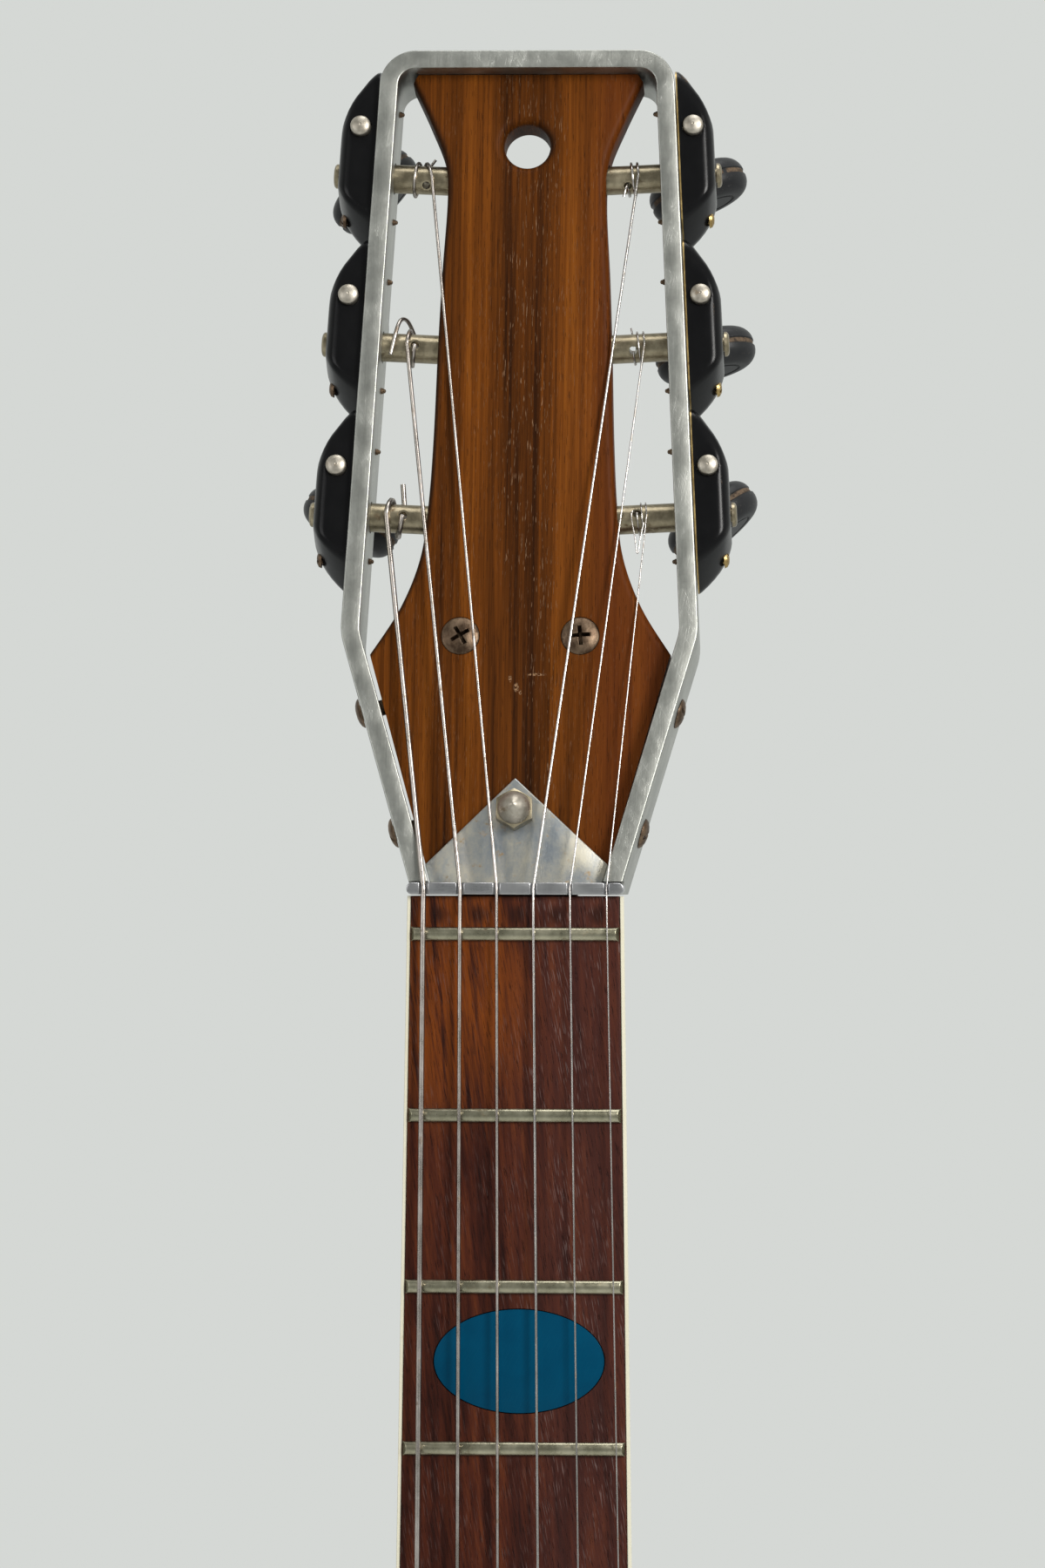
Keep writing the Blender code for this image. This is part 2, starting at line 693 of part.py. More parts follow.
def make_core():
    bm = bmesh.new()
    back = CORE_RECESS + CORE_THICK
    extrude_outline(bm, core_outline(), (0, CORE_THICK, 0), lambda a, b: (a, CORE_RECESS, b))
    free = []
    for edge in bm.edges:
        ends = [v.co for v in edge.verts]
        flat = all(abs(v.y - CORE_RECESS) < MM * 0.1 or abs(v.y - back) < MM * 0.1 for v in ends)
        along = abs(ends[0].y - ends[1].y) < MM * 0.1
        waist = all(CORE_WAIST[-1][1] - FIT < v.z < CORE_WAIST[0][1] + FIT for v in ends)
        if flat and along and waist and abs(ends[0].x) + abs(ends[1].x) > MM:
            free.append(edge)
    bmesh.ops.bevel(
        bm, geom=free, offset=CORE_ROUND, offset_type="OFFSET", segments=2, profile=0.5,
        affect="EDGES", clamp_overlap=True, material=-1,
    )
    level = Matrix.Rotation(HEAD_TILT, 3, "X") @ Vector((0, 0, 1))
    foot = Matrix.Rotation(HEAD_TILT, 3, "X") @ Vector((0, -HEAD_DROP, BOARD_ABOVE + GAP - NUT_Z))
    sliced = bmesh.ops.bisect_plane(
        bm, geom=bm.verts[:] + bm.edges[:] + bm.faces[:], dist=0.0001 * MM,
        plane_co=foot, plane_no=level, clear_inner=True,
    )
    rim = [e for e in sliced["geom_cut"] if isinstance(e, bmesh.types.BMEdge)]
    bmesh.ops.contextual_create(bm, geom=rim)
    core = add_object("head_core", mesh_from(bm, "head_core"), head_wood, head)
    low, high = CORE_RECESS, back
    turn = HANG_HOLE_ROUND
    mouth = [(HANG_HOLE_RADIUS + turn * (1 - math.sin(a)), turn * (1 - math.cos(a)))
             for a in (0, math.pi / 6, math.pi / 3, math.pi / 2)]
    profile = [(0, high + MM), (mouth[0][0], high + MM)]
    profile += [(r, high - y) for r, y in mouth]
    profile += [(r, low + y) for r, y in reversed(mouth)]
    profile += [(mouth[0][0], low - MM), (0, low - MM)]
    cut(core, turned("hang_hole", profile, ROUND_STEPS, None, head,
                     location=(0, 0, HANG_HOLE_S), rotation=(-math.pi / 2, 0, 0)))
    return core


strap = make_strap()
core = make_core()


# Nut plate and its acorn nut
def string_share(index):
    """Where a string lies across the set, from -0.5 on the bass side to 0.5."""
    return index / (len(STRINGS) - 1) - 0.5


def make_nut_plate():
    low = PLATE_FACE
    edge = strap_inner_half(PLATE_EDGE_S) - GAP, strap_inner_half(PLATE_FOOT) - GAP
    outline = [
        (PLATE_SHIFT, PLATE_APEX),
        (edge[0], PLATE_EDGE_S),
        (edge[1], PLATE_FOOT),
        (-edge[1], PLATE_FOOT),
        (-edge[0], PLATE_EDGE_S),
    ]
    piece = plate("nut_plate", outline, low, low + PLATE_THICK, alloy, head)
    foot = BOARD_ABOVE + GAP
    bar = rounded_box(PLATE_HALF, NUT_BAR / 2, NUT_BAR / 2 - FIT)
    bar = shifted(bar, 0, foot + NUT_BAR / 2)
    wall = plate("nut_wall", bar, -NUT_TOP, NUT_WALL_BACK, None, guitar)
    fuse(piece, wall)
    bm = bmesh.new()
    for index, (_, wide, *_) in enumerate(STRINGS):
        x = NUT_SPREAD * string_share(index)
        half = (wide + NUT_SLOT_EXTRA) / 2
        box(bm, (x - half, -NUT_TOP - MM, foot - MM),
            (x + half, -NUT_SLOT_DEEP + GAP, foot + NUT_BAR + MM))
    cut(piece, add_object("nut_slots", mesh_from(bm, "nut_slots"), None, guitar))
    return piece, low


def front_facing(x, depth, s):
    """Placing of a turned piece on the head, its Z pointing out of the front."""
    return {"location": (x, depth, s), "rotation": (math.pi / 2, 0, 0)}


def make_acorn(face):
    """Hexagonal nut with a domed top, and the stud that it screws on."""
    corner = ACORN_FLATS / 2 / math.cos(math.pi / 6)
    bm = bmesh.new()
    hexagon = [(corner * math.cos(a), corner * math.sin(a))
               for a in (math.pi / 2 + math.pi / 3 * i for i in range(6))]
    extrude_outline(bm, hexagon, (0, 0, ACORN_HEX), lambda a, b: (a, b, 0))
    acorn = add_object("acorn_nut", mesh_from(bm, "acorn_nut"), nickel, head,
                       **front_facing(PLATE_SHIFT, face - TOUCH, ACORN_S))
    dome = []
    for i in range(7):
        angle = math.pi / 2 * (1 - i / 6)
        dome.append((ACORN_DOME_RADIUS * math.cos(angle), ACORN_HEX + ACORN_DOME * math.sin(angle)))
    deep = CORE_RECESS + CORE_THICK + TONGUE_THICK - face
    dome[0] = (0, dome[0][1])
    dome += [(ACORN_DOME_RADIUS, MM), (STUD_RADIUS, MM), (STUD_RADIUS, -deep), (0, -deep)]
    fuse(acorn, turned("acorn_dome", dome, ROUND_STEPS, None, head,
                       **front_facing(PLATE_SHIFT, face - TOUCH, ACORN_S)))
    return pin("stud_hole", STUD_RADIUS + RUN, -30 * MM, 4 * MM, SMALL_STEPS, head,
               **front_facing(PLATE_SHIFT, face, ACORN_S))


nut_plate, plate_face = make_nut_plate()
cut_stud = make_acorn(plate_face)
cut(nut_plate, cut_stud)
cut(core, cut_stud)
cut(beam, cut_stud)


# Screws
def make_head_screw(side, word):
    """Raised countersunk screw through the core into the tongue."""
    r, crown, sink = HEAD_SCREW_RADIUS, HEAD_SCREW_CROWN, HEAD_SCREW_SINK
    deep = -(CORE_THICK + TONGUE_THICK)
    placing = front_facing(side * HEAD_SCREW_AT[0], CORE_RECESS, HEAD_SCREW_AT[1])
    profile = [(0, crown), (r * 0.45, crown * 0.82), (r * 0.8, crown * 0.42), (r, 0)]
    profile += [(HEAD_SCREW_SHANK, -sink), (HEAD_SCREW_SHANK, deep), (0, deep)]
    turned("head_screw_" + word, profile, ROUND_STEPS, brown_screw, head, **placing)
    wide, shank = r + FIT, HEAD_SCREW_SHANK + FIT
    seat = [(0, 2 * MM), (wide, 2 * MM), (wide, -FIT), (shank, -sink - FIT * 2)]
    seat += [(shank, deep - MM), (0, deep - MM)]
    hole = turned("head_screw_seat_" + word, seat, ROUND_STEPS, None, head, **placing)
    cut(core, hole)
    cut(beam, hole)


def make_frame_screw(side, word, row):
    """Domed screw through the strap into the edge of the core."""
    s = FRAME_SCREW_S[row]
    x = strap_half(s) + FIT / math.cos(LOWER_LEAN)
    turn = side * (math.pi / 2 + LOWER_LEAN)
    placing = {"location": (side * x, STRAP_DEEP / 2, s), "rotation": (0, turn, 0)}
    r, crown = FRAME_SCREW_RADIUS, FRAME_SCREW_CROWN
    profile = [(0, crown), (r * 0.5, crown * 0.85), (r * 0.85, crown * 0.45), (r, 0)]
    profile += [(FRAME_SCREW_SHANK, 0), (FRAME_SCREW_SHANK, -FRAME_SCREW_LENGTH)]
    profile.append((0, -FRAME_SCREW_LENGTH))
    name = f"frame_screw_{word}_{row}"
    turned(name, profile, SMALL_STEPS, brown_screw, head, **placing)
    hole = pin("hole_" + name, FRAME_SCREW_SHANK + GAP, -FRAME_SCREW_LENGTH - GAP,
               2 * MM, SMALL_STEPS, head, **placing)
    cut(strap, hole)
    cut(core, hole)


for side, word in ((BASS, "bass"), (TREBLE, "treble")):
    make_head_screw(side, word)
    for row in FRAME_SCREW_S:
        make_frame_screw(side, word, row)


# Tuners
WHEEL_RADIUS = WORM_RISE - WORM_PITCH_RADIUS
LEAD = math.tau * WHEEL_RADIUS / WHEEL_TEETH
LEAD_ANGLE = math.atan(LEAD / (math.tau * WORM_PITCH_RADIUS))


def wheel_outline():
    """Straight-sided teeth round the wheel, with a space at angle zero."""
    root, tip = WHEEL_RADIUS - TOOTH_DEDENDUM, WHEEL_RADIUS + TOOTH_ADDENDUM
    step = math.tau / WHEEL_TEETH
    at_root, at_tip = step * (TOOTH_SHARE + 0.12) / 2, step * (TOOTH_SHARE - 0.12) / 2
    points = []
    for tooth in range(WHEEL_TEETH):
        middle = step * (tooth + 0.5)
        for radius, angle in ((root, -at_root), (tip, -at_tip), (tip, at_tip), (root, at_root)):
            points.append((radius * math.cos(middle + angle), radius * math.sin(middle + angle)))
    return points


def make_wheel(name, side, parent):
    """The worm wheel about its own Z, its teeth raked to follow the thread."""
    bm = bmesh.new()
    low = WORM_OUT - WHEEL_THICK / 2
    top = extrude_outline(bm, wheel_outline(), (0, 0, WHEEL_THICK), lambda a, b: (a, b, low))
    rake = WHEEL_THICK * math.tan(LEAD_ANGLE) / WHEEL_RADIUS
    bmesh.ops.rotate(bm, verts=bm.verts, matrix=Matrix.Rotation(side * rake / 2, 3, "Z"))
    bmesh.ops.rotate(bm, verts=top, matrix=Matrix.Rotation(-side * rake, 3, "Z"))
    return add_object(name, mesh_from(bm, name), None, parent)


def make_post(key, side, frame, socket, hole_out, hole_angle):
    """String post, wheel and axle in one, turning about its own Z, which points outwards."""
    post_end = WORM_OUT - WHEEL_THICK / 2 - GAP
    cap = HOUSING_HIGH + GAP
    profile = [
        (0, cap + AXLE_CAP),
        (AXLE_CAP_RADIUS * 0.8, cap + AXLE_CAP),
        (AXLE_CAP_RADIUS, cap + AXLE_CAP * 0.6),
        (AXLE_CAP_RADIUS, cap),
        (AXLE_RADIUS, cap),
        (AXLE_RADIUS, post_end),
        (POST_RADIUS, post_end),
        (POST_RADIUS, -socket),
        (0, -socket),
    ]
    placing = {"location": (0, POST_DEPTH, 0), "rotation": (0, side * math.pi / 2, 0)}
    post = turned("tuner_post_" + key, profile, POST_STEPS, nickel, frame, **placing)
    wheel = make_wheel("wheel_" + key, side, post)
    fuse(post, wheel)
    hole = pin("string_hole_" + key, POST_HOLE, -POST_RADIUS - MM, POST_RADIUS + MM, 10, post,
               location=(0, 0, -hole_out))
    lean = math.radians(hole_angle)
    hole.rotation_mode = "QUATERNION"
    mouth = Vector((-side * math.sin(lean), -math.cos(lean), 0))
    hole.rotation_quaternion = mouth.to_track_quat("Z", "Y")
    cut(post, hole)
    return post


def make_thread(name, side, parent):
    """One helical ridge about its own Z, passing the wheel's side at the wheel's own height."""
    root_half, crest_half = LEAD * (THREAD_SHARE + 0.17) / 2, LEAD * (THREAD_SHARE - 0.1) / 2
    section = [(WORM_ROOT - FIT, -root_half), (WORM_CREST, -crest_half),
               (WORM_CREST, crest_half), (WORM_ROOT - FIT, root_half)]
    bm = bmesh.new()
    face = bm.faces.new([bm.verts.new((0, r, z)) for r, z in section])
    turns = WORM_TURNS / 2
    start = Matrix.Rotation(-side * math.tau * turns, 3, "Z")
    bmesh.ops.rotate(bm, verts=bm.verts, matrix=start)
    bmesh.ops.translate(bm, verts=bm.verts, vec=(0, 0, POST_DEPTH - LEAD * turns))
    steps = round(WORM_STEPS * WORM_TURNS)
    bmesh.ops.spin(
        bm, geom=[face], cent=(0, 0, 0), axis=(0, 0, 1), dvec=(0, 0, LEAD * WORM_TURNS / steps),
        angle=side * math.tau * WORM_TURNS, steps=steps, use_duplicate=False,
    )
    return add_object(name, mesh_from(bm, name), None, parent)


def make_button(name, turn, parent):
    """The oval paddle on the end of the worm's stem, about the stem's Z."""
    bm = bmesh.new()
    angles = [math.tau * i / BUTTON_SIDES for i in range(BUTTON_SIDES)]
    oval = [(BUTTON_LONG / 2 * math.cos(a), BUTTON_REACH / 2 * math.sin(a)) for a in angles]
    half = BUTTON_THICK / 2
    extrude_outline(bm, oval, (0, BUTTON_THICK, 0), lambda a, b: (a, -half, b))
    rims = [e for e in bm.edges if abs(e.verts[0].co.y - e.verts[1].co.y) < 0.1 * MM]
    bmesh.ops.bevel(bm, geom=rims, offset=BUTTON_ROUND, offset_type="OFFSET", segments=2,
                    profile=0.5, affect="EDGES", clamp_overlap=True, material=-1)
    bmesh.ops.translate(bm, verts=bm.verts, vec=(0, 0, BUTTON_DEPTH))
    bmesh.ops.rotate(bm, verts=bm.verts, matrix=Matrix.Rotation(math.radians(turn), 3, "Z"))
    return add_object(name, mesh_from(bm, name), None, parent)


def make_key(key, side, frame):
    """Worm, stem and button in one, turning about its own Z, which points to the back."""
    front, back = HOUSING_DEPTH
    bearing = 1.4 * MM
    profile = [
        (0, BUTTON_DEPTH),
        (STEM_RADIUS, BUTTON_DEPTH),
        (STEM_RADIUS, back + 2.4 * MM),
        (STEM_COLLAR, back + 2.0 * MM),
        (STEM_COLLAR, back + GAP),
        (SHAFT_END, back + GAP),
        (SHAFT_END, back - bearing),
        (SHAFT_RADIUS, back - bearing),
        (SHAFT_RADIUS, front + bearing),
        (SHAFT_END, front + bearing),
        (SHAFT_END, front - 0.3 * MM),
    ]
    dome = front - 0.3 * MM - DOME_FRONT
    for i in (1, 2):
        angle = math.pi / 2 * i / 3
        profile.append((SHAFT_END * math.cos(angle), front - 0.3 * MM - dome * math.sin(angle)))
    profile.append((0, DOME_FRONT))
    placing = {"location": (side * WORM_OUT, 0, WORM_RISE), "rotation": (-math.pi / 2, 0, 0)}
    piece = turned("tuner_key_" + key, profile, SMALL_STEPS, button_black, frame, **placing)
    fuse(piece, make_thread("thread_" + key, side, piece))
    fuse(piece, make_button("button_" + key, -BUTTON_TURN[key], piece))
    return piece


def make_housing(key, side, frame):
    """Pressed cover over worm and wheel: three outlines of one shape, the crown drawn in."""
    front, back = HOUSING_DEPTH
    middle, half = (front + back) / 2, (back - front) / 2
    outline = [(-1, 0.70), (-1, -0.68), (-0.3, -0.84), (0.45, -1), (1, -0.84),
               (1, 0.6), (0.42, 0.87), (-0.5, 1), (-0.9, 0.93)]
    levels = [(-HOUSING_WALL, 1.0, 1.0, 1.0), (HOUSING_SHOULDER, 0.99, 0.73, 0.66),
              (HOUSING_HIGH, 0.62, 0.56, 0.32)]
    bm = bmesh.new()
    rings = []
    for out, share_d, share_tip, share_tail in levels:
        ring = []
        for d, t in outline:
            reach = HOUSING_TIP * share_tip if t > 0 else HOUSING_TAIL * share_tail
            ring.append(bm.verts.new((side * out, middle + d * half * share_d, t * reach)))
        rings.append([bm.edges.new((a, b)) for a, b in zip(ring, ring[1:] + ring[:1])])
    for a, b in zip(rings, rings[1:]):
        bmesh.ops.bridge_loops(bm, edges=a + b)
    bmesh.ops.contextual_create(bm, geom=rings[-1])
    bmesh.ops.bevel(bm, geom=rings[2], offset=0.9 * MM, offset_type="OFFSET",
                    segments=1, profile=0.5, affect="EDGES", clamp_overlap=True, material=-1)
    bmesh.ops.recalc_face_normals(bm, faces=bm.faces)
    crown = max(bm.faces, key=lambda f: side * f.calc_center_median().x)
    if crown.normal.x * side < 0:
        bmesh.ops.reverse_faces(bm, faces=bm.faces)
    mesh = bpy.data.meshes.new("tuner_housing_" + key)
    bm.to_mesh(mesh)
    bm.free()
    housing = add_object("tuner_housing_" + key, mesh, black_enamel, frame)
    shell = housing.modifiers.new("wall", "SOLIDIFY")
    shell.thickness = HOUSING_WALL
    shell.offset = -1
    shell.use_even_offset = True
    bm = bmesh.new()
    near, far = sorted((side * TOUCH, -side * HOUSING_HIGH))
    box(bm, (near, 0, -2 * HOUSING_TAIL), (far, STRAP_DEEP, 2 * HOUSING_TIP))
    cut(housing, add_object("strap_side_" + key, mesh_from(bm, "strap_side"), None, frame))
    shaft = {"location": (side * WORM_OUT, 0, WORM_RISE), "rotation": (-math.pi / 2, 0, 0)}
    cut(housing, pin("shaft_way_" + key, SHAFT_END + RUN, -MM, back + 2 * MM, SMALL_STEPS,
                     frame, **shaft))
    axle = {"location": (0, POST_DEPTH, 0), "rotation": (0, side * math.pi / 2, 0)}
    cut(housing, pin("axle_way_" + key, AXLE_RADIUS + RUN, HOUSING_SHOULDER, HOUSING_HIGH + MM,
                     SMALL_STEPS, frame, **axle))
    return housing


def tuner_place(key):
    word, number = key.split("_")
    side = BASS if word == "bass" else TREBLE
    return side, TUNER_TOP_S - TUNER_PITCH * (int(number) - 1)


def make_tuner(key, hole_x, hole_angle):
    side, s = tuner_place(key)
    out = strap_half(s)
    frame = empty_frame("tuner_" + key, head, (side * out, 0, s), (0, -side * UPPER_LEAN, 0))
    core_half = next(x for x, height in smooth_line(CORE_WAIST, CORE_STEPS * 4) if height <= s)
    socket = out - core_half + POST_SOCKET
    make_post(key, side, frame, socket, out - hole_x, hole_angle)
    make_key(key, side, frame)
    make_housing(key, side, frame)
    placing = {"location": (0, POST_DEPTH, 0), "rotation": (0, side * math.pi / 2, 0)}
    hole = pin("post_way_" + key, POST_RADIUS + RUN, -socket - GAP, MM, POST_STEPS, frame, **placing)
    cut(strap, hole)
    cut(core, hole)


for _, _, key, _, hole_x, _, hole_angle in STRINGS:
    make_tuner(key, hole_x, hole_angle)


# Strings
def winding(wide, key, leave_x, hole_x, turns, hole_angle):
    """Points of the turns on the post, from where the string meets it at the front."""
    side, s = tuner_place(key)
    frame = Matrix.Translation((side * strap_half(s), 0, s)) @ Matrix.Rotation(
        -side * UPPER_LEAN, 4, "Y")
    radius = POST_RADIUS + WIND_CLEAR + wide / 2
    to_hole = hole_x < leave_x
    total = turns * 360 + (hole_angle if to_hole else 180)
    pitch = (wide + WIND_GAP) * total / 360
    travel = max(leave_x - hole_x, pitch) if to_hole else -pitch
    count = round(LOOP_POINTS * total / 360)
    points = []
    for i in range(count + 1):
        angle = math.radians(total * i / count)
        x = leave_x - travel * i / count - strap_half(s)
        local = Vector((side * x, POST_DEPTH - radius * math.cos(angle), radius * math.sin(angle)))
        points.append(frame @ local)
    turn_gap = abs(travel) * 360 / total - wide
    print(f"{key}: {turns} turns, {turn_gap / MM:.2f} mm between them")
    return points


def make_string(index, name, wide, key, leave_x, hole_x, turns, hole_angle):
    share = string_share(index)
    at_bridge = BRIDGE_SHIFT + BRIDGE_SPREAD * share
    at_nut = NUT_SPREAD * share
    r = wide / 2
    tail_z = TAIL_BAR_Z - TAIL_BAR[1] / 2 - TAIL_STUB
    saddle_y = -(BRIDGE_HEIGHT + r)
    fret_y = -(FRET_HEIGHT + TOUCH + r)
    at_zero = at_nut + (at_bridge - at_nut) * NUT_Z / (SCALE_LENGTH + NUT_Z)
    route = [
        Vector((at_bridge, TAIL_BAR_Y, tail_z)),
        Vector((at_bridge, TAIL_BAR_Y, TAIL_BAR_Z + TAIL_BAR[1] / 2 + GAP)),
        Vector((at_bridge, saddle_y, -SCALE_LENGTH)),
        Vector((at_zero, fret_y, 0)),
        Vector((at_nut, -(NUT_SLOT_DEEP + r), BOARD_ABOVE + GAP + NUT_BAR / 2)),
    ]
    route += [head_point(*p) for p in winding(wide, key, leave_x, hole_x, turns, hole_angle)]
    curve = bpy.data.curves.new(name, "CURVE")
    curve.dimensions = "3D"
    curve.bevel_depth = r
    curve.bevel_resolution = 1
    curve.use_fill_caps = True
    spline = curve.splines.new("POLY")
    spline.points.add(len(route) - 1)
    for point, place in zip(spline.points, route):
        point.co = (*place, 1)
    curve.materials.append(steel)
    string = bpy.data.objects.new(name, curve)
    string.parent = guitar
    parts.objects.link(string)
    return at_bridge, route


strings = [make_string(index, *spec) for index, spec in enumerate(STRINGS)]


# Body
BODY_BACK = BODY_FRONT + BODY_DEEP
FRAME_FRONT = BODY_FRONT + PLATE_WALL + GAP
FRAME_BACK = BODY_BACK - PLATE_WALL - GAP


def body_outline():
    half = [(0, JOINT_Z), (JOINT_HALF, JOINT_Z)]
    half += smooth_line([(JOINT_HALF + 4 * MM, JOINT_Z + MM)] + BODY_OUTLINE + [(0, BODY_TAIL)],
                        BODY_STEPS)
    return both_sides(half)


def make_plates():
    outline = body_outline()
    top = plate("body_top", outline, BODY_FRONT, BODY_FRONT + PLATE_WALL, body_finish, guitar)
    back = plate("body_back", outline, BODY_BACK - PLATE_WALL, BODY_BACK, body_finish, guitar)
    frame = plate("body_frame", outline, FRAME_FRONT, FRAME_BACK, body_finish, guitar)
    bevel(top, PLATE_EDGE, angle=60)
    return top, back, frame


def make_chambers(frame):
    """The two hollows: the outline drawn in by the wall, less the block down the middle."""
    bm = bmesh.new()
    face = bm.faces.new([bm.verts.new((x, FRAME_FRONT - MM, z)) for x, z in body_outline()])
    bm.normal_update()
    bmesh.ops.inset_region(bm, faces=[face], thickness=BODY_WALL, use_even_offset=True,
                           use_boundary=True)
    bmesh.ops.delete(bm, geom=[f for f in bm.faces if f is not face], context="FACES")
    pushed = bmesh.ops.extrude_face_region(bm, geom=[face])["geom"]
    moved = [v for v in pushed if isinstance(v, bmesh.types.BMVert)]
    bmesh.ops.translate(bm, verts=moved, vec=(0, FRAME_BACK - FRAME_FRONT + 2 * MM, 0))
    chambers = add_object("chambers", mesh_from(bm, "chambers"), None, guitar)
    long = (JOINT_Z - BODY_TAIL) / 2
    keep = shifted(rounded_box(BLOCK_HALF, long + 80 * MM, CHAMBER_ROUND), 0, JOINT_Z - long)
    block = plate("block_keep", keep, FRAME_FRONT - 2 * MM, FRAME_BACK + 2 * MM, None, guitar)
    cut(chambers, block)
    cut(frame, chambers)


def make_neck_pocket(top, frame):
    half = BEAM_WIDTH / 2 + FIT
    outline = [(-half, JOINT_Z + MM), (half, JOINT_Z + MM), (half, BEAM_END - FIT),
               (-half, BEAM_END - FIT)]
    low = BODY_FRONT - MM
    high = BOARD_THICK + GAP + BEAM_DEEP + FIT
    pocket = plate("neck_pocket", outline, low, high, None, guitar)
    cut(top, pocket)
    cut(frame, pocket)


def make_sound_hole(side, word, top):
    """An S-shaped slot that swells to the middle, with a round eye at each end."""
    left, right = [], []
    for i in range(SOUND_HOLE_STEPS + 1):
        t = 2 * i / SOUND_HOLE_STEPS - 1
        z = SOUND_HOLE_HALF * t
        x = SOUND_HOLE_SWAY * math.sin(math.pi * t * 0.85) + SOUND_HOLE_LEAN * z * -1
        half = SOUND_HOLE_WIDE * (0.5 + 0.5 * math.cos(math.pi * t / 2)) / 2
        left.append((x - half, z))
        right.append((x + half, z))
    low, high = BODY_FRONT - MM, BODY_FRONT + PLATE_WALL + MM
    centre = (side * SOUND_HOLE_AT[0], SOUND_HOLE_AT[1])
    slot = [(side * x + centre[0], z + centre[1]) for x, z in left + right[::-1]]
    cut(top, plate("sound_slot_" + word, slot, low, high, None, guitar))
    for end, name in ((0, "low"), (-1, "high")):
        x = (left[end][0] + right[end][0]) / 2
        z = left[end][1]
        inward = -1 if end == 0 else 1
        spot = (centre[0] + side * (x - inward * SOUND_HOLE_EYE * 0.7), low, centre[1] + z)
        cut(top, pin(f"sound_eye_{word}_{name}", SOUND_HOLE_EYE, -high + low, 2 * MM, SMALL_STEPS,
                     guitar, location=spot, rotation=(math.pi / 2, 0, 0)))


body_top, body_back, body_frame = make_plates()
make_chambers(body_frame)
make_neck_pocket(body_top, body_frame)
make_sound_hole(BASS, "bass", body_top)
make_sound_hole(TREBLE, "treble", body_top)


# Pickups
PICKUP_Z = {
    "neck": BOARD_END - PICKUP_CLEAR - (PICKUP_SIZE[1] + RING_BORDER) / 2,
    "bridge": -SCALE_LENGTH + PICKUP_FROM_BRIDGE,
}


def string_y(z):
    """Underside of the strings along the neck."""
    return -(FRET_HEIGHT + (BRIDGE_HEIGHT - FRET_HEIGHT) * -z / SCALE_LENGTH)


def string_x(index, z):
    at_bridge, _ = strings[index]
    at_nut = NUT_SPREAD * string_share(index)
    return at_nut + (at_bridge - at_nut) * (NUT_Z - z) / (SCALE_LENGTH + NUT_Z)


def make_pickup(word):
    z = PICKUP_Z[word]
    middle = (string_x(0, z) + string_x(len(STRINGS) - 1, z)) / 2
    half_x, half_z = PICKUP_SIZE[0] / 2, PICKUP_SIZE[1] / 2
    low = string_y(z) + PICKUP_DROP
    shape = shifted(rounded_box(half_x, half_z, PICKUP_ROUND), middle, z)
    cover = plate(word + "_pickup", shape, low, low + PICKUP_DEEP, nickel, guitar)
    bevel(cover, 0.8 * MM, 1, 60)
    for index in range(len(STRINGS)):
        spot = (string_x(index, z), low, z + half_z * 0.5)
        fuse(cover, pin(f"{word}_pole_{index}", PICKUP_POLE, -MM, PICKUP_POLE_HIGH, SMALL_STEPS, guitar,
                        location=spot, rotation=(math.pi / 2, 0, 0)))
    border = RING_BORDER
    rim = shifted(rounded_box(half_x + border, half_z + border / 2, PICKUP_ROUND), middle, z)
    hole = shifted(rounded_box(half_x + GAP, half_z + GAP, PICKUP_ROUND), middle, z)
    ring = plate(word + "_pickup_ring", rim, BODY_FRONT - FIT - RING_THICK, BODY_FRONT - FIT,
                 black_plastic, guitar)
    way = plate(word + "_pickup_way", hole, -20 * MM, low + PICKUP_DEEP + MM, None, guitar)
    cut(ring, way)
    cut(body_top, way)
    cut(body_frame, way)


for word in PICKUP_Z:
    make_pickup(word)


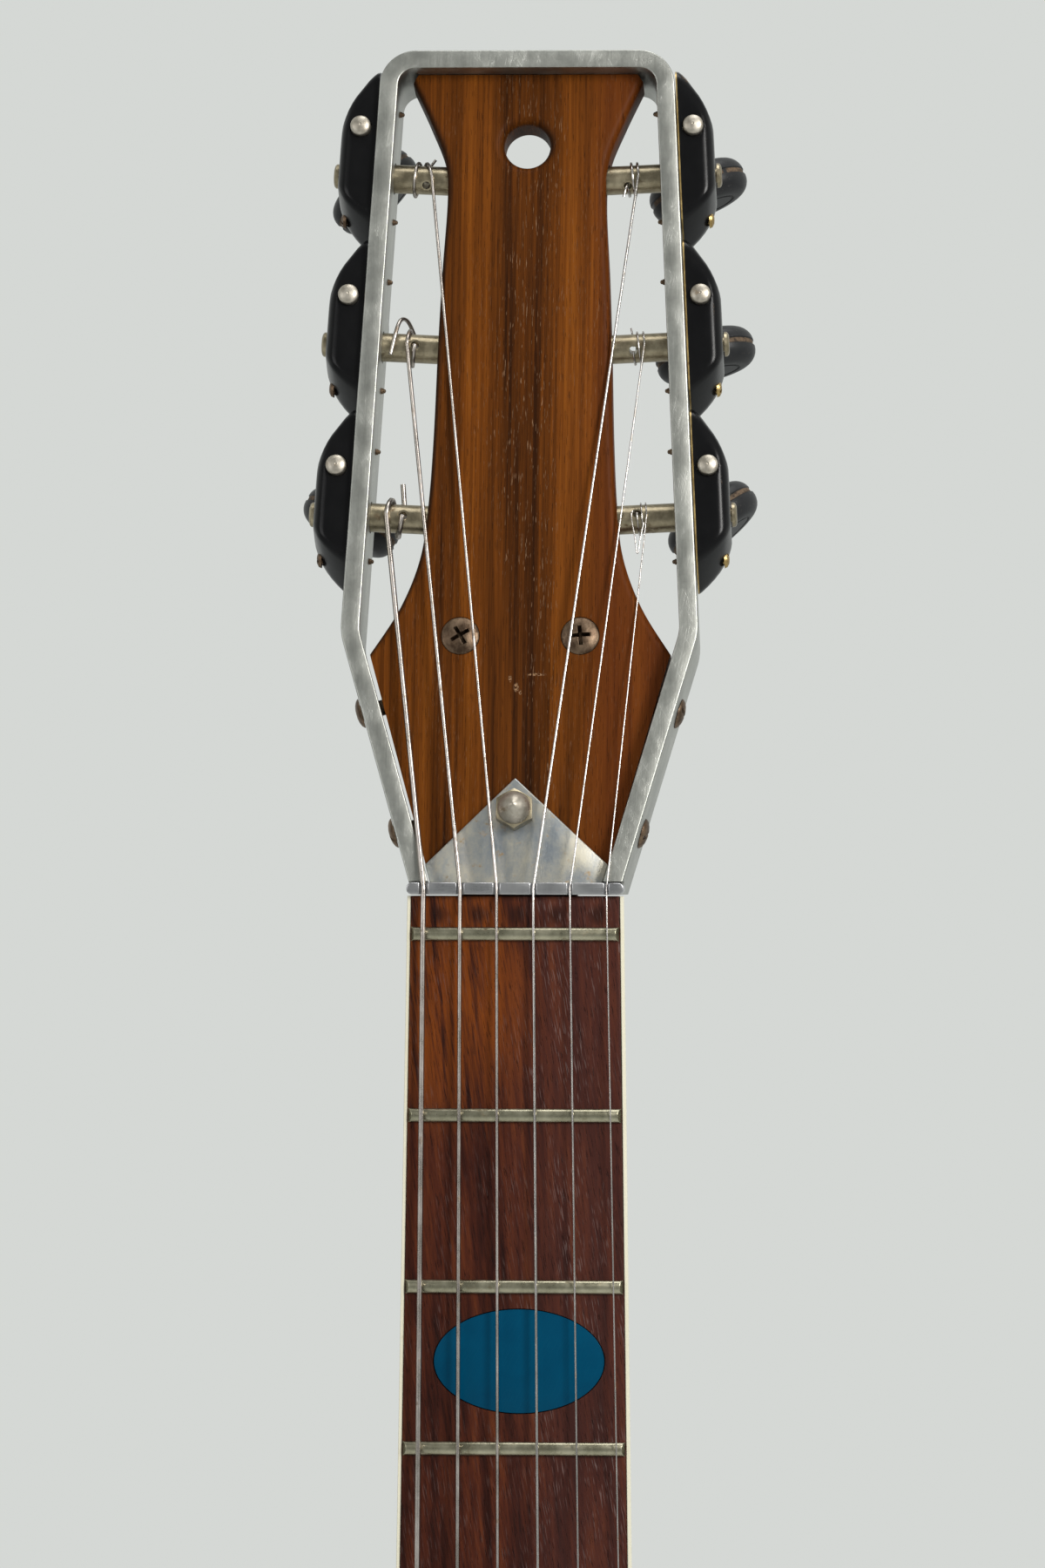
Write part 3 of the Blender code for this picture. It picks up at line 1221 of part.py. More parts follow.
# Bridge and tailpiece
def make_bridge():
    wide, long, high = BRIDGE_BASE
    z = -SCALE_LENGTH
    low = BODY_FRONT - TOUCH
    arch = []
    for i in range(9):
        t = 2 * i / 8 - 1
        arch.append((BRIDGE_SHIFT + wide / 2 * t, low - high * (1 - 0.55 * t**4)))
    bm = bmesh.new()
    section = [(BRIDGE_SHIFT + wide / 2, low), (BRIDGE_SHIFT - wide / 2, low)] + arch
    extrude_outline(bm, section, (0, 0, long), lambda a, b: (a, b, z - long / 2))
    base = add_object("bridge_base", mesh_from(bm, "bridge_base"), board_wood, guitar)
    bar_wide, bar_long = BRIDGE_BAR
    top = -BRIDGE_HEIGHT + TOUCH
    under = low - high - BRIDGE_WHEEL_THICK - GAP
    bm = bmesh.new()
    section = [(-bar_long / 2, under), (-bar_long / 2, top + 1.6 * MM), (-1.2 * MM, top),
               (0.2 * MM, top), (bar_long / 2, top + 1.6 * MM), (bar_long / 2, under)]
    extrude_outline(bm, section, (bar_wide, 0, 0),
                    lambda a, b: (BRIDGE_SHIFT - bar_wide / 2, b, z + a))
    saddle = add_object("bridge_saddle", mesh_from(bm, "bridge_saddle"), nickel, guitar)
    for side in (BASS, TREBLE):
        placing = {"location": (BRIDGE_SHIFT + side * BRIDGE_POST_SPREAD / 2, under, z),
                   "rotation": (math.pi / 2, 0, 0)}
        thick, r = BRIDGE_WHEEL_THICK, BRIDGE_WHEEL_RADIUS
        profile = [(0, 0.6 * MM), (r * 0.9, 0.6 * MM), (r, 0), (r, -thick + FIT),
                   (BRIDGE_POST_RADIUS, -thick + FIT), (BRIDGE_POST_RADIUS, -thick - 3 * MM),
                   (0, -thick - 3 * MM)]
        fuse(saddle, turned(f"bridge_wheel_{side}", profile, ROUND_STEPS, None, guitar, **placing))
        cut(base, pin(f"bridge_post_way_{side}", BRIDGE_POST_RADIUS + RUN, -20 * MM, 3 * MM,
                      SMALL_STEPS, guitar, **placing))


def make_tailpiece():
    """A cross bar that holds the strings' ends, on a plate with a window, held at the tail."""
    wide, long, high = TAIL_BAR
    low = BODY_FRONT - FIT
    outline = [
        (wide / 2 - 4 * MM + BRIDGE_SHIFT, TAIL_BAR_Z),
        (TAIL_PLATE_FOOT / 2, TAIL_PLATE_END),
        (-TAIL_PLATE_FOOT / 2, TAIL_PLATE_END),
        (-wide / 2 + 4 * MM + BRIDGE_SHIFT, TAIL_BAR_Z),
    ]
    piece = plate("tailpiece", outline, low - TAIL_PLATE_THICK, low, nickel, guitar)
    centre = (BRIDGE_SHIFT * 0.5, (TAIL_BAR_Z + TAIL_PLATE_END) / 2)
    window = [(centre[0] + (x - centre[0]) * TAIL_WINDOW, centre[1] + (z - centre[1]) * TAIL_WINDOW)
              for x, z in outline]
    cut(piece, plate("tail_window", window, low - 4 * MM, low + 4 * MM, None, guitar))
    bm = bmesh.new()
    box(bm, (BRIDGE_SHIFT - wide / 2, TAIL_BAR_Y - high / 2, TAIL_BAR_Z - long / 2),
        (BRIDGE_SHIFT + wide / 2, low - 0.5 * MM, TAIL_BAR_Z + long / 2))
    bar = add_object("tail_bar", mesh_from(bm, "tail_bar"), None, guitar)
    bevel(bar, 1.2 * MM, 2)
    fuse(piece, bar)
    for index, (_, wide_string, *_) in enumerate(STRINGS):
        hole = pin(f"tail_hole_{index}", wide_string / 2 + GAP, -long, long, 8, guitar,
                   location=(strings[index][0], TAIL_BAR_Y, TAIL_BAR_Z))
        cut(piece, hole)


make_bridge()
make_tailpiece()


# Controls
def on_top(x, z, depth=0.0):
    """Placing of a turned piece on the body's top, its Z pointing out of the front."""
    return {"location": (x, BODY_FRONT + depth, z), "rotation": (math.pi / 2, 0, 0)}


def make_control(word, place):
    """Knob with its shaft, and the potentiometer that carries it under the top."""
    x, z = place
    lift = 2.0 * MM
    top, skirt, r = KNOB_HIGH, 4.0 * MM, KNOB_RADIUS
    under = -(PLATE_WALL + GAP)
    shaft_end = under - POT_DEEP * 0.6
    profile = [
        (0, lift + top),
        (r * 0.62, lift + top),
        (r * 0.72, lift + top - MM),
        (r * 0.76, lift + skirt + 1.5 * MM),
        (r, lift + skirt * 0.6),
        (r, lift),
        (POT_SHAFT_RADIUS, lift),
        (POT_SHAFT_RADIUS, shaft_end),
        (0, shaft_end),
    ]
    turned(word + "_knob", profile, KNOB_STEPS, black_plastic, guitar, **on_top(x, z))
    bush, bore = POT_BUSH_RADIUS, POT_SHAFT_RADIUS + RUN
    nut = bush + 2.2 * MM
    pot = [
        (bore, lift - 0.4 * MM),
        (bush, lift - 0.4 * MM),
        (nut, lift - 0.6 * MM),
        (nut, FIT),
        (bush, FIT),
        (bush, under),
        (POT_RADIUS, under),
        (POT_RADIUS, under - POT_DEEP),
        (0, under - POT_DEEP),
        (0, shaft_end - GAP),
        (bore, shaft_end - GAP),
        (bore, lift - 0.4 * MM),
    ]
    turned(word + "_pot", pot, ROUND_STEPS, nickel, guitar, **on_top(x, z))
    cut(body_top, pin(word + "_pot_way", bush + RUN, -10 * MM, 10 * MM, ROUND_STEPS, guitar,
                      **on_top(x, z)))


def make_switch():
    """Three-way lever switch: the lever rocks on a ball inside the bush."""
    x, z = SWITCH_AT
    bush, under = SWITCH_BUSH_RADIUS, -(PLATE_WALL + GAP)
    mouth = 3.6 * MM
    profile = [
        (mouth, 3.0 * MM),
        (bush + 2.5 * MM, 3.0 * MM),
        (bush + 3.0 * MM, 2.4 * MM),
        (bush + 3.0 * MM, FIT),
        (bush, FIT),
        (bush, under - 1.0 * MM),
        (0, under - 1.0 * MM),
        (0, under + 0.4 * MM),
        (2.3 * MM, under + 0.4 * MM),
        (2.3 * MM, under + 2.4 * MM),
        (mouth, 3.0 * MM),
    ]
    switch = turned("switch_body", profile, ROUND_STEPS, nickel, guitar, **on_top(x, z))
    wide, long, deep = SWITCH_BOX
    bm = bmesh.new()
    low = BODY_FRONT - under
    box(bm, (x - wide / 2, low, z - long / 2), (x + wide / 2, low + deep, z + long / 2))
    fuse(switch, add_object("switch_box", mesh_from(bm, "switch_box"), None, guitar))
    cut(body_top, pin("switch_way", bush + RUN, -10 * MM, 10 * MM, ROUND_STEPS, guitar,
                      **on_top(x, z)))
    ball = 1.7 * MM
    lever = [(0, SWITCH_LEVER), (2.0 * MM, SWITCH_LEVER - 0.8 * MM),
             (2.7 * MM, SWITCH_LEVER - 4 * MM), (2.2 * MM, SWITCH_LEVER - 9 * MM),
             (1.1 * MM, SWITCH_LEVER - 10 * MM), (1.1 * MM, ball), (ball, ball * 0.3),
             (ball, -ball * 0.3), (ball * 0.6, -ball * 0.8), (0, -ball * 0.8)]
    turned("switch_lever", lever, SMALL_STEPS, cream, guitar,
           **on_top(x, z, -under - 0.4 * MM - ball * 0.8 - GAP))


def make_jack():
    """Output socket: barrel, face nut and the sleeve under the top."""
    x, z = JACK_AT
    under = -(PLATE_WALL + GAP)
    high = JACK_NUT_HIGH
    profile = [
        (JACK_BORE, high + 0.8 * MM),
        (JACK_BARREL, high + 0.8 * MM),
        (JACK_BARREL, high),
        (JACK_NUT - 0.6 * MM, high),
        (JACK_NUT, high - 0.6 * MM),
        (JACK_NUT, FIT),
        (JACK_BARREL, FIT),
        (JACK_BARREL, under),
        (JACK_NUT, under),
        (JACK_NUT, -JACK_DEEP),
        (0, -JACK_DEEP),
        (0, -JACK_DEEP + 1.5 * MM),
        (JACK_BORE, -JACK_DEEP + 1.5 * MM),
        (JACK_BORE, high + 0.8 * MM),
    ]
    turned("output_jack", profile, ROUND_STEPS, nickel, guitar, **on_top(x, z))
    cut(body_top, pin("jack_way", JACK_BARREL + RUN, -10 * MM, 10 * MM, ROUND_STEPS, guitar,
                      **on_top(x, z)))


def make_strap_button(name, x, z, up):
    """Button for the shoulder strap, on the rim, with its screw in the wood."""
    r, waist, high = STRAP_BUTTON_RADIUS, STRAP_BUTTON_WAIST, STRAP_BUTTON_HIGH
    deep = -11 * MM
    profile = [(0, high), (r - MM, high), (r, high - MM), (r, high - 3 * MM), (waist, high - 5 * MM),
               (waist, 3 * MM), (waist + 2 * MM, GAP), (1.8 * MM, GAP), (1.8 * MM, deep), (0, deep)]
    placing = {"location": (x, (FRAME_FRONT + FRAME_BACK) / 2, z),
               "rotation": (0 if up else math.pi, 0, 0)}
    turned(name, profile, ROUND_STEPS, nickel, guitar, **placing)
    cut(body_frame, pin(name + "_way", 1.8 * MM + RUN, deep - GAP, 5 * MM, SMALL_STEPS, guitar,
                        **placing))


for word, place in KNOBS.items():
    make_control(word, place)
make_switch()
make_jack()
horn_top = max(z for _, z in body_outline())
make_strap_button("strap_button_horn", STRAP_HORN_X, horn_top, True)
make_strap_button("strap_button_tail", 0, BODY_TAIL, False)

# Round pieces are shaded smooth
for obj in parts.objects:
    if obj.type == "MESH":
        obj.data.shade_smooth()
        obj.data.set_sharp_from_angle(angle=math.radians(35))
bpy.context.view_layer.update()
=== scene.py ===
# %% [markdown]
# # A semi-hollow electric guitar with an open head
#
# The head is a bent alloy strap round a wooden core. Six tuners sit outside the strap under black
# pressed covers, and their posts reach across the gap into the core. The neck carries a dark board
# with a zero fret, and the body below it is a hollow box with a solid block down its middle.
#
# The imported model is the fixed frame: it says where everything is. This script dresses it.

import json
import math

import bmesh
import bpy
from mathutils import Matrix, Vector
from mathutils.geometry import interpolate_bezier

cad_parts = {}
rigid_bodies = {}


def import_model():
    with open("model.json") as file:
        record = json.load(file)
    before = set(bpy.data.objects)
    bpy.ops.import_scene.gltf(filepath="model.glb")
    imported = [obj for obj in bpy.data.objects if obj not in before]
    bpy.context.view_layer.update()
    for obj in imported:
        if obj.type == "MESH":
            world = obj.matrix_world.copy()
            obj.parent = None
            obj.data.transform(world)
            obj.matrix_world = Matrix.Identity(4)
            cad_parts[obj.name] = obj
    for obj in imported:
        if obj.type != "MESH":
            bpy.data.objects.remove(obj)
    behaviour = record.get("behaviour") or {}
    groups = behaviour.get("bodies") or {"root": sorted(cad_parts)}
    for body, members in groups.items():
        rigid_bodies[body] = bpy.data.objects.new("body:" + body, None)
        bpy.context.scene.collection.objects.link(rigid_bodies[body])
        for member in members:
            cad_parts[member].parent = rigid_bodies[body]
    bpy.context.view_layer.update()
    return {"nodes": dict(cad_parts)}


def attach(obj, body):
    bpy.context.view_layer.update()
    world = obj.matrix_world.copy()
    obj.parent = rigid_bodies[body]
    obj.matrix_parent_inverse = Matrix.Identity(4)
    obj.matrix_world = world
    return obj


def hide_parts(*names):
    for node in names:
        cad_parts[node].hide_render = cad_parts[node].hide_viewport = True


for old in list(bpy.data.objects):
    bpy.data.objects.remove(old)
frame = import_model()

# %% [markdown]
# ## Two frames of reference
#
# A luthier measures the neck from the nut end of the board, and the head from the nut along its
# own lean of 13 degrees. Each could be worked out point by point, but a matrix for each keeps the
# numbers the same as on the drawing: x to the treble side, y to the back, z up.

# %% Neck and head frames
MM = 0.001
BASS, TREBLE = -1, 1
HEAD_LEAN = math.radians(13)
NUT_Z = 9.7 * MM
HEAD_DROP = 0.4 * MM
CORE_FRONT, CORE_BACK = 4.4 * MM, 14.4 * MM
HANG_HOLE_S = 158.0 * MM

lean = Matrix.Rotation(-HEAD_LEAN, 4, "X")
nut_point = Vector((0, HEAD_DROP, NUT_Z))
hang_point = nut_point + lean @ Vector((0, (CORE_FRONT + CORE_BACK) / 2, HANG_HOLE_S))
NECK = Matrix.Translation(-hang_point)
HEAD = NECK @ Matrix.Translation(nut_point) @ lean
print("the zero fret is at", [round(1000 * v, 1) for v in NECK.translation], "mm")


# %% [markdown]
# ## Shapes from a few operators
#
# Most pieces of a guitar are cut from flat stock, turned on a lathe, or bent. So three helpers
# cover them: an outline pushed to a thickness, a profile spun round an axis, and one shape carved
# out of another. A last one rounds the edges, because no made edge is perfectly sharp, and it is
# the thin bright line along an edge that makes metal and lacquer look real.

# %% Outlines, turned shapes and carving
def outlined(points, low, high):
    """A flat piece: a closed outline in X and Z, from one depth to another."""
    bm = bmesh.new()
    face = bm.faces.new([bm.verts.new((x, low, z)) for x, z in points])
    pushed = bmesh.ops.extrude_face_region(bm, geom=[face])["geom"]
    moved = [v for v in pushed if isinstance(v, bmesh.types.BMVert)]
    bmesh.ops.translate(bm, verts=moved, vec=(0, high - low, 0))
    bmesh.ops.recalc_face_normals(bm, faces=bm.faces)
    return bm


def turned(profile, steps=32):
    """A round piece about Z, from (radius, height) points listed from the top down."""
    bm = bmesh.new()
    line = [bm.verts.new((radius, 0, height)) for radius, height in profile]
    edges = [bm.edges.new((a, b)) for a, b in zip(line, line[1:]) if a.co.x + b.co.x > 0]
    bmesh.ops.spin(bm, geom=line + edges, cent=(0, 0, 0), axis=(0, 0, 1), dvec=(0, 0, 0),
                   angle=math.tau, steps=steps, use_merge=True, use_duplicate=False)
    bmesh.ops.remove_doubles(bm, verts=bm.verts, dist=0.0001 * MM)
    bmesh.ops.recalc_face_normals(bm, faces=bm.faces)
    return bm


def block(low, high):
    """A box between two corners."""
    bm = bmesh.new()
    bmesh.ops.create_cube(bm, size=1)
    size = [b - a for a, b in zip(low, high)]
    bmesh.ops.scale(bm, verts=bm.verts, vec=size)
    bmesh.ops.translate(bm, verts=bm.verts, vec=[(a + b) / 2 for a, b in zip(low, high)])
    return bm


def moved(bm, place):
    bmesh.ops.transform(bm, matrix=place, verts=bm.verts)
    return bm


def joined(*shapes):
    """Several shapes as one, without a Boolean."""
    whole = shapes[0]
    for shape in shapes[1:]:
        spare = bpy.data.meshes.new("spare")
        shape.to_mesh(spare)
        whole.from_mesh(spare)
        shape.free()
        bpy.data.meshes.remove(spare)
    return whole


def carved(bm, *others, how="DIFFERENCE"):
    """The shape with the others cut out of it."""
    for other in others:
        pair = []
        for shape in (bm, other):
            mesh = bpy.data.meshes.new("carving")
            shape.to_mesh(mesh)
            shape.free()
            pair.append(bpy.data.objects.new("carving", mesh))
            bpy.context.scene.collection.objects.link(pair[-1])
        modifier = pair[0].modifiers.new("carve", "BOOLEAN")
        modifier.operation, modifier.solver, modifier.object = how, "EXACT", pair[1]
        graph = bpy.context.evaluated_depsgraph_get()
        bm = bmesh.new()
        bm.from_mesh(pair[0].evaluated_get(graph).data)
        for obj in pair:
            bpy.data.meshes.remove(obj.data)
    return bm


def softened(bm, width, segments=3, angle=35, keep=None):
    """The shape with its sharp edges rounded; keep says which of them."""
    sharp = [e for e in bm.edges if e.is_manifold and e.calc_face_angle() > math.radians(angle)]
    sharp = [e for e in sharp if keep is None or keep(e)]
    bmesh.ops.bevel(bm, geom=sharp, offset=width, offset_type="OFFSET", segments=segments,
                    profile=0.5, affect="EDGES", clamp_overlap=True, material=-1)
    return bm


print("a turned pin has", len(turned([(0, MM), (MM, MM), (MM, 0), (0, 0)], 24).faces), "faces")

# %% [markdown]
# Curved outlines come from knots, as a draughtsman bends a spline through pins, and bent metal
# comes from straight runs joined by arcs of a known radius.

# %% Lines
def arc(centre, radius, start, end, steps):
    angles = [math.radians(start + (end - start) * i / steps) for i in range(steps + 1)]
    return [(centre[0] + radius * math.cos(a), centre[1] + radius * math.sin(a)) for a in angles]


def rounded_box(half_x, half_z, radius, steps=6, at=(0, 0)):
    points = []
    for side_x, side_z, start in ((1, 1, 0), (-1, 1, 90), (-1, -1, 180), (1, -1, 270)):
        centre = (at[0] + side_x * (half_x - radius), at[1] + side_z * (half_z - radius))
        points += arc(centre, radius, start, start + 90, steps)
    return points


def smooth_line(knots, steps):
    knots = [Vector((x, z, 0)) for x, z in knots]
    line = []
    for i in range(len(knots) - 1):
        before = knots[max(i - 1, 0)]
        after = knots[min(i + 2, len(knots) - 1)]
        first, last = knots[i], knots[i + 1]
        span = interpolate_bezier(first, first + (last - before) / 6, last - (after - first) / 6,
                                  last, steps + 1)
        line += [(p.x, p.y) for p in span[: -1 if i < len(knots) - 2 else None]]
    return line


def rounded_path(corners, radii, steps):
    path = [corners[0]]
    for before, corner, after, radius in zip(corners, corners[1:], corners[2:], radii):
        a = (Vector(before) - Vector(corner)).normalized()
        b = (Vector(after) - Vector(corner)).normalized()
        half = a.angle(b) / 2
        centre = Vector(corner) + (a + b).normalized() * (radius / math.sin(half))
        first = Vector(corner) + a * (radius / math.tan(half)) - centre
        turn = first.angle_signed(Vector(corner) + b * (radius / math.tan(half)) - centre)
        for i in range(steps + 1):
            path.append(tuple(centre + Matrix.Rotation(-turn * i / steps, 2) @ first))
    path.append(corners[-1])
    return path


def both_sides(half):
    """Closes an outline of which the +X half is given, from the middle to the middle."""
    return half + [(-x, z) for x, z in reversed(half) if abs(x) > 0.01 * MM]


print("a rounded box has", len(rounded_box(20 * MM, 10 * MM, 3 * MM)), "corners")

# %% [markdown]
# A finished piece goes into the scene the same way each time: its place goes into its mesh, its
# faces are shaded smooth up to an angle, it rides on one of the imported bodies, and the imported
# nodes it stands for are hidden.

# %% Finished pieces
def piece(name, bm, place, paints, body="guitar", stands_for=(), smooth=35, pick=None):
    bmesh.ops.transform(bm, matrix=place, verts=bm.verts)
    if pick:
        bm.normal_update()
        for face in bm.faces:
            face.material_index = pick(place.inverted() @ face.calc_center_median())
    mesh = bpy.data.meshes.new(name)
    bm.to_mesh(mesh)
    bm.free()
    mesh.shade_smooth()
    mesh.set_sharp_from_angle(angle=math.radians(smooth))
    return placed(name, mesh, paints, body, stands_for)


def placed(name, data, paints, body="guitar", stands_for=()):
    """Puts a mesh or a curve into the scene, with its paints and its body."""
    obj = bpy.data.objects.new(name + "_look", data)
    bpy.context.scene.collection.objects.link(obj)
    for paint in paints if isinstance(paints, (list, tuple)) else [paints]:
        data.materials.append(paint.material)
    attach(obj, body)
    if stands_for:
        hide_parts(*([stands_for] if isinstance(stands_for, str) else stands_for))
    return obj


# %% [markdown]
# ## Paints
#
# A finish is a small graph of nodes. Written as Python it stays readable: Wire wraps one output,
# and sums on it add Math nodes; Paint holds a material and adds any other node. Patterns are laid
# out in real sizes, in the frame of the piece they are on, so wood grain follows the lean head.

# %% Wires and paints
class Wire:
    """One output of a node. Sums on it add Math nodes."""

    def __init__(self, paint, socket):
        self.paint, self.socket = paint, socket

    def __add__(self, other):
        return self.paint.add("Math", {"operation": "ADD"}, self, other)

    def __sub__(self, other):
        return self.paint.add("Math", {"operation": "SUBTRACT"}, self, other)

    def __rsub__(self, other):
        return self.paint.add("Math", {"operation": "SUBTRACT"}, other, self)

    def __mul__(self, other):
        return self.paint.add("Math", {"operation": "MULTIPLY"}, self, other)

    __radd__ = __add__
    __rmul__ = __mul__


class Paint:
    """A material with one Principled shader, its plain values given by name."""

    def __init__(self, name, color=(0.5, 0.5, 0.5), roughness=0.5, metallic=0.0, **plain):
        self.material = bpy.data.materials.new(name)
        self.material.use_nodes = True
        self.tree = self.material.node_tree
        self.shader = self.tree.nodes["Principled BSDF"]
        plain = {"base_color": (*color, 1), "roughness": roughness, "metallic": metallic, **plain}
        for key, value in plain.items():
            self.feed(key, value)

    def feed(self, key, value):
        """Gives a value or a wire to one of the shader's sockets."""
        words = key.replace("_", " ").title().replace("Ior", "IOR")
        self.join(self.shader.inputs[words], value)

    def join(self, socket, value):
        if isinstance(value, Wire):
            self.tree.links.new(value.socket, socket)
        elif isinstance(value, tuple) and socket.type == "RGBA" and len(value) == 3:
            socket.default_value = (*value, 1)
        else:
            socket.default_value = value

    def add(self, kind, settings=None, *values, out=0, **named):
        node = self.tree.nodes.new("ShaderNode" + kind)
        for key, value in (settings or {}).items():
            if key == "stops":
                ramp = node.color_ramp
                while len(ramp.elements) < len(value):
                    ramp.elements.new(0.5)
                for element, (place, color) in zip(ramp.elements, value):
                    element.position, element.color = place, (*color, 1)
            else:
                setattr(node, key, value)
        for socket, value in [*enumerate(values), *named.items()]:
            self.join(node.inputs[socket], value)
        return Wire(self, node.outputs[out])

    def coords(self, size, origin=(0, 0, 0), turn=(0, 0, 0)):
        """Coordinates in a turned frame, counted in steps of a size for each axis."""
        where = self.add("TexCoord", out=3)
        return self.add("Mapping", {"vector_type": "TEXTURE"}, where, origin, turn, size)

    def noise(self, at, scale=1.0, detail=2.0, rough=0.5, warp=0.0, out=0):
        return self.add("TexNoise", None, out=out, Vector=at, Scale=scale, Detail=detail,
                        Roughness=rough, Distortion=warp)

    def ramp(self, factor, *stops):
        return self.add("ValToRGB", {"stops": stops}, factor)

    def mix(self, factor, a, b, mode="MIX"):
        settings = {"data_type": "RGBA", "blend_type": mode}
        node = self.add("Mix", settings, factor, out=2)
        inputs = node.socket.node.inputs
        self.join(inputs[6], a)
        self.join(inputs[7], b)
        return node

    def step(self, value, low, high, to_low=0.0, to_high=1.0):
        """Eases from one value to another between two thresholds."""
        return self.add("MapRange", {"interpolation_type": "SMOOTHSTEP"}, value, low, high,
                        to_low, to_high)

    def split(self, vector, axis):
        return self.add("SeparateXYZ", None, vector, out="XYZ".index(axis))

    def spot(self, at):
        """The distance from the origin of a frame made by coords."""
        return self.add("VectorMath", {"operation": "LENGTH"}, at, out=1)

    def bump(self, height, depth, strength=1.0):
        """Raises the surface by height times depth, a length in metres."""
        normal = self.add("Bump", None, Strength=strength, Distance=depth, Height=height)
        self.feed("normal", normal)


HEAD_TURN = (-HEAD_LEAN, 0, 0)


def on_head(paint, x, y, z, shift=(0, 0, 0)):
    """Pattern steps of so many mm along the head's own axes, from a point on the head."""
    origin = HEAD @ Vector([v * MM for v in shift])
    return paint.coords((x * MM, y * MM, z * MM), tuple(origin), HEAD_TURN)


def on_neck(paint, x, y, z, shift=(0, 0, 0), turn=(0, 0, 0)):
    """The same along the neck's axes."""
    origin = NECK @ Vector([v * MM for v in shift])
    return paint.coords((x * MM, y * MM, z * MM), tuple(origin), turn)


print("the head's paints are turned by", round(math.degrees(HEAD_TURN[0])), "degrees")

# %% [markdown]
# ## Head wood
#
# The core is a dense tropical wood, oiled and rubbed. Its broad stripes run up the head, orange at
# the sides and browner in the middle, with fine darker lines between them. Where open pores catch
# the light, a painted highlight draws short pale dashes. Stretched noise gives all three: the same
# texture, drawn out along the grain by a different amount each time.

# %% Paint for the core
def head_wood_paint():
    paint = Paint("head_wood", roughness=0.4, specular_ior_level=0.05)
    stripes = paint.noise(on_head(paint, 4.2, 30, 240), detail=5, rough=0.6, warp=0.3)
    fine = paint.noise(on_head(paint, 0.55, 3, 40), detail=4, rough=0.65)
    across = paint.split(on_head(paint, 1, 1, 1), "X")
    middle = paint.step(across, -8.0, -3.5) * (1 - paint.step(across, 6.0, 9.5))
    seam = paint.step(across, -17.5, -16.3) * (1 - paint.step(across, -15.2, -13.0))
    tone = stripes * 0.55 + fine * 0.42 - middle * 0.07 - seam * 0.10
    color = paint.ramp(tone, (0.31, (0.022, 0.0062, 0.0010)), (0.42, (0.062, 0.0170, 0.0016)),
                       (0.52, (0.108, 0.0295, 0.0026)), (0.66, (0.185, 0.0550, 0.0052)))
    red = paint.step(across, 10, 19) * 0.45
    color = paint.mix(red, color, (0.095, 0.021, 0.004))
    # Painted highlight: short pale dashes where open pores catch the light. The same mask also sinks the
    # surface a little, as a pore.
    pores = paint.noise(on_head(paint, 0.17, 0.8, 2.3), detail=1, rough=0.4)
    crowd = paint.noise(on_head(paint, 7, 9, 45, (40, 0, 0)), detail=1)
    pore_glint = paint.step(pores, 0.66, 0.73) * paint.step(crowd, 0.40, 0.60)
    pore_glint = pore_glint * (middle * 0.7 + 0.3)
    color = paint.mix(pore_glint * 0.6, color, (0.25, 0.145, 0.080))
    dark = paint.noise(on_head(paint, 0.17, 0.7, 4.0, (9, 5, 30)), detail=1)
    dark_pore = paint.step(dark, 0.66, 0.72)
    color = paint.mix(dark_pore * 0.55, color, (0.018, 0.006, 0.002))
    # Painted shade: faces turned towards the bass side, away from the lamp on the right, are darkened as
    # if in shadow.
    shade_normal_x = paint.split(paint.add("NewGeometry", out=1), "X")
    color = paint.mix((1 - paint.step(shade_normal_x, -0.85, -0.25)) * 0.8, color, (0.020, 0.010, 0.006))
    chips = []
    for x, s, wide, high in ((3.4, 44.9, 1.9, 0.28), (-1.9, 44.0, 0.32, 0.7), (-0.6, 42.2, 0.5, 0.9),
                             (0.2, 41.2, 0.3, 0.5)):
        near = paint.spot(on_head(paint, wide, 40, high, (x, 0, s)))
        chips.append(1 - paint.step(near, 0.6, 1.3))
    ragged = paint.step(paint.noise(on_head(paint, 0.35, 0.5, 0.35), detail=2), 0.42, 0.55)
    chip = (chips[0] + chips[1] + chips[2] + chips[3]) * ragged
    color = paint.mix(chip * 0.85, color, (0.27, 0.155, 0.080))
    paint.feed("base_color", color)
    paint.feed("roughness", 0.40 + fine * 0.14 + pore_glint * 0.15)
    paint.bump(fine * 0.35 - pore_glint * 0.6 - dark_pore * 0.7 - chip, 0.12 * MM)
    return paint


head_wood = head_wood_paint()
print("nodes in the core's paint:", len(head_wood.material.node_tree.nodes))

# %% [markdown]
# ## Board wood
#
# The board is darker and redder, worn smooth by fingers. Its pores are longer and run at a slant,
# because the plank was sawn across the tree's spiral. Each pore is a shallow groove that catches
# the lamp on one side, so here the bump does more than the colour. The colour still holds painted
# highlights: pale glints in patches, and a lighter, greyer tone towards the treble side where the
# board shows a sheen. Where the first position has been played most, at the bass side by the nut,
# the surface has lightened to orange brown.

# %% Paint for the board
BOARD_SLANT = math.radians(-10)


